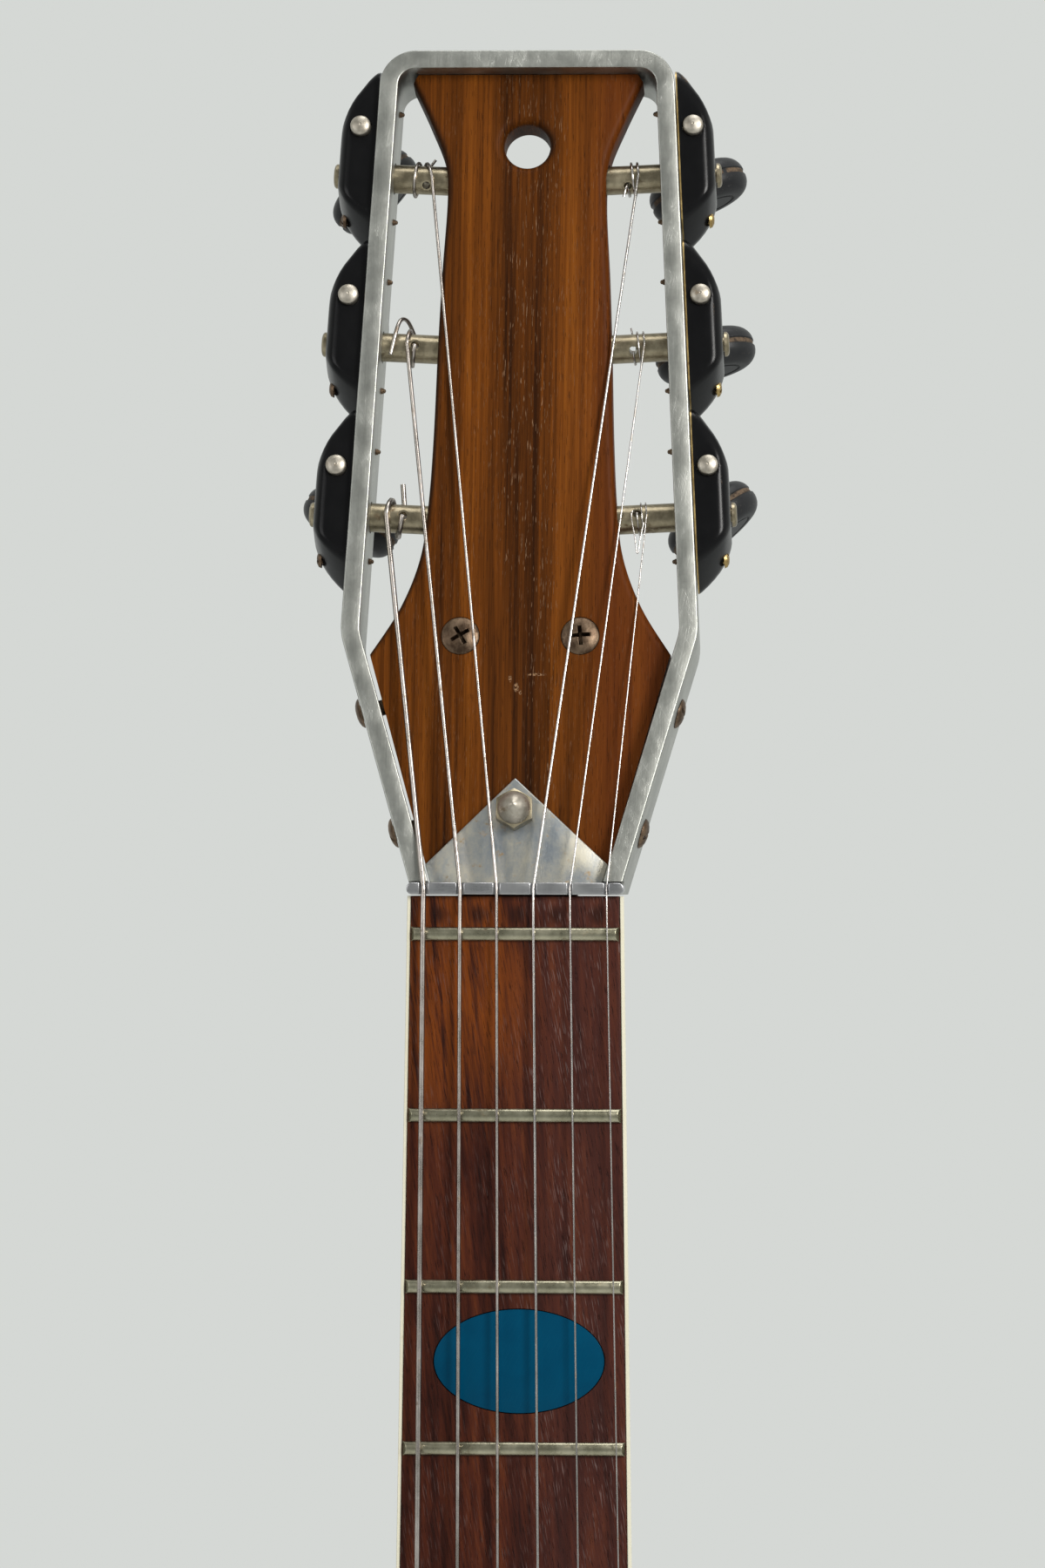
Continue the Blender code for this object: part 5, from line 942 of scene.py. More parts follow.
COVER_SCREWS = ((14.0, 9.0), (-8.8, 11.0))
for key, (side, s, place) in TUNERS.items():
    hollow = pressed_cover(side, 0.7 * MM)
    floor = [v for v in hollow.verts if side * v.co.x < 0.3 * MM]
    bmesh.ops.translate(hollow, verts=floor, vec=(-side * MM, 0, 0))
    shaft = (Matrix.Translation((side * WORM_OUT, 0, WORM_RISE)) @ Matrix.Rotation(-QUARTER, 4, "X"))
    axle = Matrix.Translation((0, POST_DEPTH, 0)) @ Matrix.Rotation(side * QUARTER, 4, "Y")
    cover = carved(pressed_cover(side, 0), hollow, rod(2.3 * MM, -MM, 18.8 * MM, shaft),
                   rod(1.85 * MM, 4.8 * MM, 8.5 * MM, axle))
    cover = softened(cover, 0.14 * MM, 2, 60, lambda e: side * e.verts[0].co.x > 0.6 * MM)
    piece(f"tuner_cover_{key}", cover, place, (black_enamel, brass), smooth=50,
          stands_for=f"tuner_housing_{key}", pick=lambda at, side=side: side == TREBLE and at.x < 0.4 * MM)
    for number, (rise, depth) in enumerate(COVER_SCREWS):
        head = 5.8 if number else 4.6
        screw = turned(mm_list([(0, head + 1.1), (0.9, head + 1.0), (1.6, head + 0.6), (1.85, head),
                                (0.95, head), (0.95, -3.7), (0.62, -3.9), (0.58, -4.3), (0.45, -4.4),
                                (0.4, -4.7), (0.15, -4.85), (0, -4.85)]), 28)
        saw = block(mm_list([(-3, -0.25, head + 0.6)])[0], mm_list([(3, 0.25, head + 2)])[0])
        at = (Matrix.Translation((0, depth * MM, rise * MM)) @ Matrix.Rotation(side * QUARTER, 4, "Y")
              @ Matrix.Rotation(0.9 * number + s * 40, 4, "Z"))
        piece(f"cover_screw_{key}_{number + 1}", carved(screw, saw), place @ at,
              (brass if side == TREBLE else brown_screw, brown_screw),
              stands_for=(f"tuner_housing_{key}", "head_frame"), pick=lambda at: at.z < -3.6 * MM)

# %% [markdown]
# ## Worms and buttons
#
# Turning the button turns the worm, and the worm's thread pushes one tooth of the wheel along for
# each whole turn. So the button turns 14 times for one turn of the post, and the strings can't
# drive it backwards. The thread is a trapezium swept along a helix with the real lead.

# %% Turn the worms
WHEEL_TEETH, WORM_PITCH_RADIUS = 14, 2.3 * MM
WHEEL_RADIUS = WORM_RISE - WORM_PITCH_RADIUS
LEAD = math.tau * WHEEL_RADIUS / WHEEL_TEETH
LEAD_ANGLE = math.atan(LEAD / (math.tau * WORM_PITCH_RADIUS))
BUTTON_TURN = {"bass_1": 50, "bass_2": 84, "bass_3": -25, "treble_1": 20, "treble_2": 12,
               "treble_3": 38}


def thread(side):
    """The worm's ridge, two turns long, past the wheel's own depth in its middle."""
    root, crest = LEAD * 0.225, LEAD * 0.09
    section = [(1.4 * MM, -root), (2.8 * MM, -crest), (2.8 * MM, crest), (1.4 * MM, root)]
    bm = bmesh.new()
    face = bm.faces.new([bm.verts.new((0, r, z)) for r, z in section])
    bmesh.ops.translate(bm, verts=bm.verts, vec=(0, 0, POST_DEPTH - LEAD))
    bmesh.ops.spin(bm, geom=[face], cent=(0, 0, 0), axis=(0, 0, 1), dvec=(0, 0, LEAD * 2 / 56),
                   angle=side * 2 * math.tau, steps=56, use_duplicate=False)
    bmesh.ops.recalc_face_normals(bm, faces=bm.faces)
    return bm


def button(turn):
    """An oval paddle with round edges, a groove in each face and one along its rim."""
    oval = [(10.6 * MM * math.cos(a), 8.15 * MM * math.sin(a))
            for a in (math.tau * i / 64 for i in range(64))]
    bm = softened(outlined(oval, -4.2 * MM, 4.2 * MM), 3.5 * MM, 8, 60)
    rim = [f for f in bm.faces if abs(f.calc_center_median().y) < 0.1 * MM]
    bmesh.ops.inset_region(bm, faces=rim, thickness=0.2 * MM, depth=-0.25 * MM)
    for outward in (-1, 1):
        face = max(bm.faces, key=lambda f: outward * f.calc_center_median().y + f.calc_area())
        bmesh.ops.inset_region(bm, faces=[face], thickness=0.5 * MM, use_even_offset=True)
        bmesh.ops.inset_region(bm, faces=[face], thickness=0.35 * MM, depth=-0.3 * MM)
        bmesh.ops.inset_region(bm, faces=[face], thickness=0.35 * MM, depth=0.3 * MM)
    bmesh.ops.translate(bm, verts=bm.verts, vec=(0, 0, 43.8 * MM))
    bmesh.ops.rotate(bm, verts=bm.verts, matrix=Matrix.Rotation(math.radians(turn), 3, "Z"))
    return bm


for key, (side, s, place) in TUNERS.items():
    end = [(2.1 * math.cos(a), 0.5 - 0.9 * math.sin(a)) for a in (QUARTER * i / 6 for i in range(1, 6))]
    end += [(0.3, -0.42), (0.12, -0.25), (0, -0.22)]
    profile = [(0, 43.8), (1.9, 43.8), (1.9, 19.2), (2.7, 18.8), (2.7, 17.1), (2.05, 17.1),
               (2.05, 15.4), (1.6, 15.4), (1.6, 2.6), (2.1, 2.6), (2.1, 0.5)] + end
    shaft = turned(mm_list(profile), 40)
    at = place @ Matrix.Translation((side * WORM_OUT, 0, WORM_RISE)) @ Matrix.Rotation(-QUARTER, 4, "X")
    worm = carved(shaft, thread(side), how="UNION")
    level = Matrix.Rotation(-math.radians(BUTTON_TURN[key]), 3, "Z") @ Vector((0, 1, 0))
    piece(f"tuner_key_{key}", carved(worm, button(-BUTTON_TURN[key]), how="UNION"), at,
          (dull_nickel, button_black, groove_brown), f"tuner_key_{key}", f"tuner_key_{key}",
          40, pick=lambda at, level=level:
          0 if at.z < 34.8 * MM else 2 if 0 < abs(at.dot(level)) < 0.45 * MM else 1)

# %% [markdown]
# ## Posts and wheels
#
# The post is one turned piece with its axle and cap. The wheel's teeth are raked to lie along the
# thread. A hole goes through the post for the string's end.

# %% Turn the posts
HOLES = {"bass_3": (24.4, 0), "bass_2": (22.6, 0), "bass_1": (20.8, -40), "treble_1": (20.7, -45),
         "treble_2": (22.2, -25), "treble_3": (23.4, 10)}


def wheel(side):
    """The worm wheel about its Z, with a space at angle zero."""
    step = math.tau / WHEEL_TEETH
    outline = []
    for tooth in range(WHEEL_TEETH):
        middle = step * (tooth + 0.5)
        for r, share in ((-0.75, -0.27), (-0.1, -0.22), (0.45, -0.15), (0.45, 0.15), (-0.1, 0.22),
                         (-0.75, 0.27)):
            a = middle + share * step
            outline.append(((WHEEL_RADIUS + r * MM) * math.cos(a), (WHEEL_RADIUS + r * MM) * math.sin(a)))
    bm = moved(outlined(outline, -WORM_OUT - MM, -WORM_OUT + MM), Matrix.Rotation(-QUARTER, 4, "X"))
    rake = 2 * MM * math.tan(LEAD_ANGLE) / WHEEL_RADIUS
    top = [v for v in bm.verts if v.co.z > WORM_OUT]
    bmesh.ops.rotate(bm, verts=bm.verts, matrix=Matrix.Rotation(side * rake / 2, 3, "Z"))
    bmesh.ops.rotate(bm, verts=top, matrix=Matrix.Rotation(-side * rake, 3, "Z"))
    return bm


for key, (side, s, place) in TUNERS.items():
    hole_x, angle = HOLES[key]
    socket = SOCKETS[key] / MM
    post = turned(mm_list([(0, 8.8), (1.7, 8.8), (2.2, 8.65), (2.5, 8.35), (2.55, 7.8), (1.5, 7.8),
                           (1.5, 2.1), (2.75, 2.1), (2.95, 1.9), (2.95, -socket + 0.3),
                           (2.65, -socket), (0, -socket)]), 48)
    lean_mouth = math.radians(angle)
    mouth = Vector((-side * math.sin(lean_mouth), -math.cos(lean_mouth), 0))
    drill = (Matrix.Translation((0, 0, hole_x * MM - strap_half(s)))
             @ mouth.to_track_quat("Z", "Y").to_matrix().to_4x4())
    post = carved(post, rod(0.85 * MM, -4 * MM, 4 * MM, drill, 20), rod(1.2 * MM, 2.7 * MM, 4 * MM,
                                                                         drill, 20))
    post = carved(post, wheel(side), how="UNION")
    piece(f"tuner_post_{key}", post, POST_FRAMES[key], post_nickel, f"tuner_post_{key}",
          f"tuner_post_{key}", 30)

# %% [markdown]
# ## Board, frets and inlay
#
# Frets are spaced so that each shortens the string by the same ratio, the twelfth root of two.
# Fret wire is drawn with a round crown and a thin tang, which is pressed into a sawn slot, and the
# ends are filed to a slope so that they don't catch the hand. The inlay is let into an oval seat
# a little larger than itself: the filler round it shows as a thin dark line.

# %% Make the board, the frets and the inlay
SCALE = 648 * MM
BOARD_THICK, FIT = 5 * MM, 0.1 * MM


def fret_z(number):
    return -SCALE * (1 - 2 ** (-number / 12))


def board_half(z):
    return (42 * MM - 0.0281 * z) / 2


BOARD_END = fret_z(21) - 12 * MM
board = [(board_half(BOARD_ABOVE), BOARD_ABOVE), (board_half(BOARD_END), BOARD_END)]
board = softened(outlined(both_sides(board), 0, BOARD_THICK), 0.25 * MM)
oval = [(math.cos(math.tau * i / 96), math.sin(math.tau * i / 96)) for i in range(96)]
seat = outlined([(17.28 * MM * x + MM, 10.58 * MM * z - 85.6 * MM) for x, z in oval], -MM, 1.5 * MM)
tangs, frets = [], []
for number in range(22):
    z = fret_z(number)
    half = board_half(z) - FIT
    tangs.append(block((-half + MM, -MM, z - 0.35 * MM), (half - MM, 1.8 * MM, z + 0.35 * MM)))
    section = [(1.4 * MM * math.cos(a), -1.2 * MM * math.sin(a) ** 0.9)
               for a in (math.pi * i / 14 for i in range(15))]
    section += [(-0.3 * MM, 0), (-0.3 * MM, 1.6 * MM), (0.3 * MM, 1.6 * MM), (0.3 * MM, 0)]
    bm = bmesh.new()
    face = bm.faces.new([bm.verts.new((-1, y, dz)) for dz, y in section])
    far = [v for v in bmesh.ops.extrude_face_region(bm, geom=[face])["geom"]
           if isinstance(v, bmesh.types.BMVert)]
    bmesh.ops.translate(bm, verts=far, vec=(2, 0, 0))
    for v in bm.verts:
        reach = half + v.co.y * 0.6 if v.co.y < 0.01 * MM else half - 1.2 * MM
        v.co.x = math.copysign(reach, v.co.x)
    bmesh.ops.recalc_face_normals(bm, faces=bm.faces)
    bmesh.ops.translate(bm, verts=bm.verts, vec=(0, 0, z))
    frets.append(softened(bm, 0.12 * MM, 2, 50, lambda e: all(v.co.y < -0.1 * MM for v in e.verts)))
piece("board", carved(board, seat, joined(*tangs)), NECK, board_wood, stands_for="fretboard")
piece("frets", joined(*frets), NECK, fret_metal, stands_for="fretboard", smooth=30)
inlay = outlined([(17.1 * MM * x + MM, 10.4 * MM * z - 85.6 * MM) for x, z in oval], 0, 1.4 * MM)
piece("inlay", softened(inlay, 0.12 * MM, 2), NECK, blue_inlay, stands_for="marker_inlay")

# %% [markdown]
# ## Neck cover and beam
#
# The neck is an alloy beam in a moulded cover. The cover's section is drawn at a series of places:
# round the back of the hand, then the seat for the board and the channel for the beam. It deepens
# to the heel. The beam ends in a tongue that reaches up behind the core and takes its screws.

# %% Mould the cover, make the beam
HEEL_START, HEEL_RISE, JOINT_Z = -345 * MM, 34 * MM, -399 * MM


def cover_section(z):
    """The section at one place, from the bass edge round the back, then the seat."""
    half = board_half(z) + FIT + 0.7 * MM
    grown = max(0.0, min(1.0, (HEEL_START - z) / HEEL_RISE))
    depth = 21 * MM + 3 * MM * (BOARD_ABOVE - z) / (BOARD_ABOVE - JOINT_Z)
    depth += (43 * MM - depth) * (3 * grown ** 2 - 2 * grown ** 3)
    outside = [(-half + 0.12 * MM, 0), (-half, 0.2 * MM)]
    for i in range(33):
        angle = math.pi * i / 32
        outside.append((-half * math.cos(angle),
                        BOARD_THICK + (depth - BOARD_THICK) * math.sin(angle) ** 0.8))
    outside += [(half, 0.2 * MM), (half - 0.12 * MM, 0)]
    seat_half = board_half(z) + FIT
    inside = [(seat_half + 0.12 * MM, 0), (seat_half, 0.15 * MM), (seat_half, BOARD_THICK + FIT),
              (12.1 * MM, BOARD_THICK + FIT), (12.1 * MM, 17.4 * MM)]
    return outside + inside + [(-x, y) for x, y in reversed(inside)]


heights = [BOARD_ABOVE] + [HEEL_START * i / 12 for i in range(13)]
heights += [HEEL_START - HEEL_RISE * i / 16 for i in range(1, 17)] + [JOINT_Z + GAP]
bm = bmesh.new()
rings = []
for z in heights:
    ring = [bm.verts.new((x, y, z)) for x, y in cover_section(z)]
    rings.append([bm.edges.new(pair) for pair in zip(ring, ring[1:] + ring[:1])])
for a, b in zip(rings, rings[1:]):
    bmesh.ops.bridge_loops(bm, edges=a + b)
for ring in (rings[0], rings[-1]):
    bmesh.ops.triangle_fill(bm, edges=ring, use_beauty=True)
bmesh.ops.recalc_face_normals(bm, faces=bm.faces)
from_head = NECK.inverted() @ HEAD
tongue_way = block((-12.1 * MM, CORE_BACK, -18 * MM), (12.1 * MM, CORE_BACK + 4.6 * MM, 9 * MM))
piece("cover", carved(bm, moved(tongue_way, from_head)), NECK, cream, stands_for="neck_cover",
      smooth=40)

tongue = both_sides(mm_list([(17, 62), (17, 31), (11.9, 4.5), (11.9, -9)]))
tongue = softened(outlined(tongue, CORE_BACK + GAP, CORE_BACK + GAP + 4 * MM), 0.4 * MM)
beam = block((-12 * MM, 5.3 * MM, -462 * MM), (12 * MM, 17.3 * MM, BOARD_ABOVE))
beam = carved(beam, moved(tongue, from_head), how="UNION")
ways = [rod(2.25 * MM, -0.03, 4 * MM, on_front(-0.5 * MM, PLATE_FACE, 16 * MM))]
ways += [rod(2 * MM, -0.015, 0, on_front(x * MM, CORE_FRONT, 53 * MM)) for x, _ in
         FRONT_SCREWS.values()]
piece("beam", carved(beam, moved(joined(*ways), from_head)), NECK, beam_alloy, stands_for="neck_beam",
      smooth=30)

# %% [markdown]
# ## Strings
#
# Three strings are plain steel and three are wound. A winding is a thin wire wrapped round a core,
# and from the side it reads as a row of small round steps, so the wound strings are made as a bar
# whose radius swells and shrinks once for each turn of the wrap. The line of each string runs from
# the tailpiece over the saddle, the zero fret and the nut bar, then round its post.

# %% Lay the strings
STRING_PLAN = {  # tuner, where it leaves the post, whole turns, pitch of the wrap
    6: ("bass_3", 27.8, 1, 0.36), 5: ("bass_2", 24.2, 1, 0.30), 4: ("bass_1", 19.7, 1, 0.25),
    3: ("treble_1", 23.0, 2, 0), 2: ("treble_2", 24.6, 2, 0), 1: ("treble_3", 25.4, 2, 0)}
BRIDGE_SHIFT, TAIL_BAR_Z = 4.6 * MM, -738 * MM
POST_RADIUS = 2.95 * MM
at_bridge = [BRIDGE_SHIFT + 54 * MM * (index / 5 - 0.5) for index in range(6)]
at_nut = [NUT_SPREAD * (index / 5 - 0.5) for index in range(6)]


def string_x(index, z):
    return at_nut[index] + (at_bridge[index] - at_nut[index]) * (NUT_Z - z) / (SCALE + NUT_Z)


def string_y(z):
    """The underside of the strings."""
    return -(1.2 * MM + 4 * MM * -z / SCALE)


def winding(wide, key, leave_x, turns):
    """Points round the post, in the scene, from where the string meets it at the front."""
    side, s, place = TUNERS[key]
    hole_x, hole_angle = HOLES[key]
    radius = POST_RADIUS + 0.2 * MM + wide / 2
    to_hole = hole_x < leave_x
    total = turns * 360 + (hole_angle if to_hole else 180)
    pitch = (wide + 0.55 * MM) * total / 360
    travel = max((leave_x - hole_x) * MM, pitch) if to_hole else -pitch
    count = round(40 * total / 360)
    for i in range(count + 1):
        angle = math.radians(total * i / count)
        x = leave_x * MM - travel * i / count - strap_half(s)
        if not to_hole:
            x += 2.6 * MM * math.sin(math.pi * i / count)
        yield place @ Vector((side * x, POST_DEPTH - radius * math.cos(angle),
                              radius * math.sin(angle)))


def paced(line, step):
    """The same line in even steps."""
    marks, place, spare = [line[0]], line[0], 0.0
    for a, b in zip(line, line[1:]):
        length = (b - a).length
        at = step - spare
        while at <= length:
            marks.append(a.lerp(b, at / length))
            at += step
        spare = length - (at - step)
    return marks


def wire(name, line, wide, paint, body="guitar", stands_for=(), wrap=0.0):
    """A drawn wire along a line, wound if its wrap has a pitch."""
    if wrap:
        line = paced(line, wrap / 2)
    curve = bpy.data.curves.new(name, "CURVE")
    curve.dimensions, curve.bevel_depth, curve.use_fill_caps = "3D", wide / 2, True
    curve.bevel_resolution = 1 if wrap else 2
    spline = curve.splines.new("POLY")
    spline.points.add(len(line) - 1)
    for number, (point, place) in enumerate(zip(spline.points, line)):
        point.co = (*place, 1)
        point.radius = 1 - 0.15 * (number % 2) if wrap else 1
    return placed(name, curve, paint, body, stands_for)


for index, wide in enumerate(STRING_WIDE):
    number, wide = 6 - index, wide * MM
    key, leave_x, turns, wrap = STRING_PLAN[number]
    x, r = at_bridge[index], wide / 2
    zero_x = string_x(index, 0)
    line = [(x, -0.4 * MM, TAIL_BAR_Z - 6.5 * MM), (x, -0.4 * MM, TAIL_BAR_Z + 4.8 * MM),
            (x, -5.2 * MM - r, -SCALE), (zero_x, -1.35 * MM - r, 0),
            (at_nut[index], -0.75 * MM - r, bar_z)]
    line = [NECK @ Vector(p) for p in line] + list(winding(wide, key, leave_x, turns))
    wire(f"string_{number}", line, wide, wound_steel if wrap else string_steel,
         stands_for=f"string_{number}", wrap=wrap * MM)

# %% [markdown]
# The cut ends of the strings turn with the posts, so they are pieces of their own. Nobody cuts
# them twice alike: some stand up, one is bent into a loop, and each ends in a bright burr.

# %% Cut ends
ENDS = {  # points in mm: across from the middle of the head, behind its front, above the post
    6: [(-24.4, 9, 0), (-24.4, 11.9, 0.6), (-24.6, 12.1, 3.6), (-24.9, 11.6, 7.6)],
    5: [(-22.6, 9, 0), (-22.6, 12.0, 1.0), (-23.2, 11.6, 3.4), (-24.3, 8.6, 5.2), (-25.5, 6.6, 5.0),
        (-26.4, 5.4, 2.4), (-27.5, 5.0, -2.9)],
    4: [(-20.8, 9, 0), (-20.7, 11.4, 2.1), (-20.2, 11.8, 3.6), (-19.3, 11.6, 4.8)],
    3: [(20.7, 9, 0), (20.7, 6.7, -2.3), (20.4, 6.0, -3.4), (20.0, 5.9, -5.2)],
    2: [(22.2, 9, 0), (22.1, 11.8, 1.4), (21.9, 11.6, 3.2), (21.6, 11.4, 4.6)],
    1: [(23.4, 9, 0), (22.7, 5.9, 0.4), (22.3, 5.6, -0.9), (23.0, 5.4, -5.0), (23.6, 5.4, -8.8),
        (24.2, 5.5, -5.4), (24.8, 5.7, -2.2)]}
for number, end in ENDS.items():
    key = STRING_PLAN[number][0]
    side, s, place = TUNERS[key]
    wide = STRING_WIDE[6 - number] * MM
    line = [HEAD @ Vector((x * MM, depth * MM, s + rise * MM)) for x, depth, rise in end]
    smooth = [line[0]]
    for i in range(len(line) - 1):
        before, after = line[max(i - 1, 0)], line[min(i + 2, len(line) - 1)]
        smooth += interpolate_bezier(line[i], line[i] + (line[i + 1] - before) / 6,
                                     line[i + 1] - (after - line[i]) / 6, line[i + 1], 8)[1:]
    wire(f"string_end_{number}", smooth, wide * 0.92, wound_steel if number > 3 else string_steel,
         f"tuner_post_{key}", f"tuner_post_{key}")

# %% [markdown]
# ## Body
#
# The body is a hollow box with a block down its middle. Top and back are 3 mm plates, bound in
# cream at the edge, and the frame between them is routed from solid wood. The plates are made from
# one outline: pushed to their thickness, then drawn in by small steps to round the edge.

# %% Top, back and frame
BODY_FRONT, BODY_BACK, PLATE = 5.3 * MM, 50.3 * MM, 3 * MM
FRAME_FRONT, FRAME_BACK = BODY_FRONT + PLATE + GAP, BODY_BACK - PLATE - GAP
BODY_TAIL = -808.5 * MM
bouts = [(33, -398), (40, -392), (60, -362), (82, -341), (108, -336), (132, -352), (143, -396),
         (133, -458), (120, -522), (136, -582), (176, -632), (191, -690), (172, -756),
         (118, -797), (50, -807.5), (0, -808.5)]
OUTLINE = both_sides([(0, JOINT_Z), (29 * MM, JOINT_Z)] + smooth_line(mm_list(bouts), 9))
RIM = [Vector((x, 0, z)) for x, z in OUTLINE]


def from_edge(at):
    """How far a point is inside the body's outline."""
    flat = Vector((at.x, 0, at.z))
    return min((flat - a.lerp(b, max(0.0, min(1.0, (flat - a).dot(b - a) / (b - a).length_squared))))
               .length for a, b in zip(RIM, RIM[1:] + RIM[:1]))


def rounded_plate(low, high, outward):
    """A plate of the body's outline whose outer edge is rounded, its face at low or high."""
    bm = outlined(OUTLINE, low, high)
    face = max(bm.faces, key=lambda f: outward * f.calc_center_median().y * 10 + f.calc_area())
    round_edge = 1.3 * MM
    bmesh.ops.translate(bm, verts=face.verts[:], vec=(0, -outward * round_edge, 0))
    for i in range(4):
        a, b = (QUARTER * j / 4 for j in (i, i + 1))
        bmesh.ops.inset_region(bm, faces=[face], use_even_offset=True,
                               thickness=round_edge * (math.cos(a) - math.cos(b)),
                               depth=round_edge * (math.sin(b) - math.sin(a)))
    bmesh.ops.inset_region(bm, faces=[face], thickness=1.1 * MM, use_even_offset=True)
    return bm


def drill_top(radius, x, z, steps=40):
    return rod(radius, -0.02, 0.02, Matrix.Translation((x, BODY_FRONT, z))
               @ Matrix.Rotation(QUARTER, 4, "X"), steps)


def sound_hole(side):
    """An S-shaped slot that swells to the middle, with a round eye at each end."""
    left, right = [], []
    for i in range(41):
        t = i / 20 - 1
        x = 9 * math.sin(math.pi * t * 0.85) - 0.16 * 44 * t
        half = 3.5 * (0.5 + 0.5 * math.cos(math.pi * t / 2))
        left.append((x - half, 44 * t))
        right.append((x + half, 44 * t))
    points = [(side * (x + 108) * MM, (z - 598) * MM) for x, z in left + right[::-1]]
    slot = outlined(points, 0, 20 * MM)
    for end, inward in ((0, -1), (-1, 1)):
        x = (left[end][0] + right[end][0]) / 2 - inward * 6.2 * 0.7
        slot = carved(slot, drill_top(6.2 * MM, side * (x + 108) * MM, (left[end][1] - 598) * MM),
                      how="UNION")
    return slot


PICKUPS = {"neck": BOARD_END - 8.2 * MM - 21.5 * MM, "bridge": -SCALE + 38 * MM}
KNOBS = {"volume": (112 * MM, -672 * MM), "tone": (136 * MM, -718 * MM)}
SWITCH, JACK = (104 * MM, -404 * MM), (122 * MM, -762 * MM)


def pickup_middle(z):
    return (string_x(0, z) + string_x(5, z)) / 2


pocket = block((-12.1 * MM, 0, -462.1 * MM), (12.1 * MM, 17.4 * MM, -390 * MM))
ways = [pocket]
for z in PICKUPS.values():
    way = rounded_box(35.3 * MM, 18.3 * MM, 4 * MM, 8, (pickup_middle(z), z))
    ways.append(outlined(way, -20 * MM, string_y(z) + 18.4 * MM))
top_ways = ways + [drill_top(4.95 * MM, *spot) for spot in KNOBS.values()]
top_ways += [drill_top(5.35 * MM, *SWITCH), drill_top(5.85 * MM, *JACK), sound_hole(BASS),
             sound_hole(TREBLE)]
top = carved(rounded_plate(BODY_FRONT, BODY_FRONT + PLATE, -1), *[way.copy() for way in top_ways])
piece("top", top, NECK, (body_lacquer, ivory_plastic), stands_for="body_top",
      pick=lambda at: from_edge(at) < 2.2 * MM and at.z < JOINT_Z + 70 * MM and abs(at.x) > 30 * MM
      or from_edge(at) < 2.2 * MM and at.z < -500 * MM)
back = rounded_plate(BODY_BACK - PLATE, BODY_BACK, 1)
piece("back", back, NECK, (body_lacquer, ivory_plastic), stands_for="body_back",
      pick=lambda at: from_edge(at) < 2.2 * MM)

chambers = bmesh.new()
face = chambers.faces.new([chambers.verts.new((x, FRAME_FRONT - MM, z)) for x, z in OUTLINE])
chambers.normal_update()
bmesh.ops.inset_region(chambers, faces=[face], thickness=16 * MM, use_even_offset=True,
                       use_boundary=True)
bmesh.ops.delete(chambers, geom=[f for f in chambers.faces if f is not face], context="FACES")
far = [v for v in bmesh.ops.extrude_face_region(chambers, geom=[face])["geom"]
       if isinstance(v, bmesh.types.BMVert)]
bmesh.ops.translate(chambers, verts=far, vec=(0, FRAME_BACK - FRAME_FRONT + 2 * MM, 0))
bmesh.ops.recalc_face_normals(chambers, faces=chambers.faces)
middle = (JOINT_Z + BODY_TAIL) / 2
keep = rounded_box(78 * MM, 290 * MM, 12 * MM, 8, (0, middle))
chambers = carved(chambers, outlined(keep, FRAME_FRONT - 2 * MM, FRAME_BACK + 2 * MM))
shell = carved(outlined(OUTLINE, FRAME_FRONT, FRAME_BACK), chambers, *ways)
horn_top = max(z for _, z in OUTLINE)
half_way = (FRAME_FRONT + FRAME_BACK) / 2
BUTTONS = {"horn": Matrix.Translation((-104 * MM, half_way, horn_top)),
           "tail": Matrix.Translation((0, half_way, BODY_TAIL)) @ Matrix.Rotation(math.pi, 4, "X")}
shell = carved(shell, *[rod(2.15 * MM, -11.3 * MM, 5 * MM, at, 20) for at in BUTTONS.values()])
piece("frame", shell, NECK, (bare_wood, body_lacquer), stands_for="body_frame",
      pick=lambda at: from_edge(at) < MM)

# %% [markdown]
# ## Pickups
#
# Under each nickel cover is a coil round six magnets, whose screws come up through the cover below
# the strings. The ring holds it to the top and hides the hole.

# %% Make the pickups
def small_screw(radius, high, turn):
    """A round head with a slot, its underside at zero."""
    head = turned([(0, high), (radius * 0.5, high * 0.93), (radius * 0.85, high * 0.6),
                   (radius, 0.1 * MM), (radius, -0.3 * MM), (0, -0.3 * MM)], 28)
    saw = block((-2 * radius, -radius * 0.14, high * 0.5), (2 * radius, radius * 0.14, 2 * high))
    return carved(head, moved(saw, Matrix.Rotation(turn, 4, "Z")))


def facing(x, y, z):
    """A frame on the neck whose Z points out of the front."""
    return Matrix.Translation((x, y, z)) @ Matrix.Rotation(QUARTER, 4, "X")


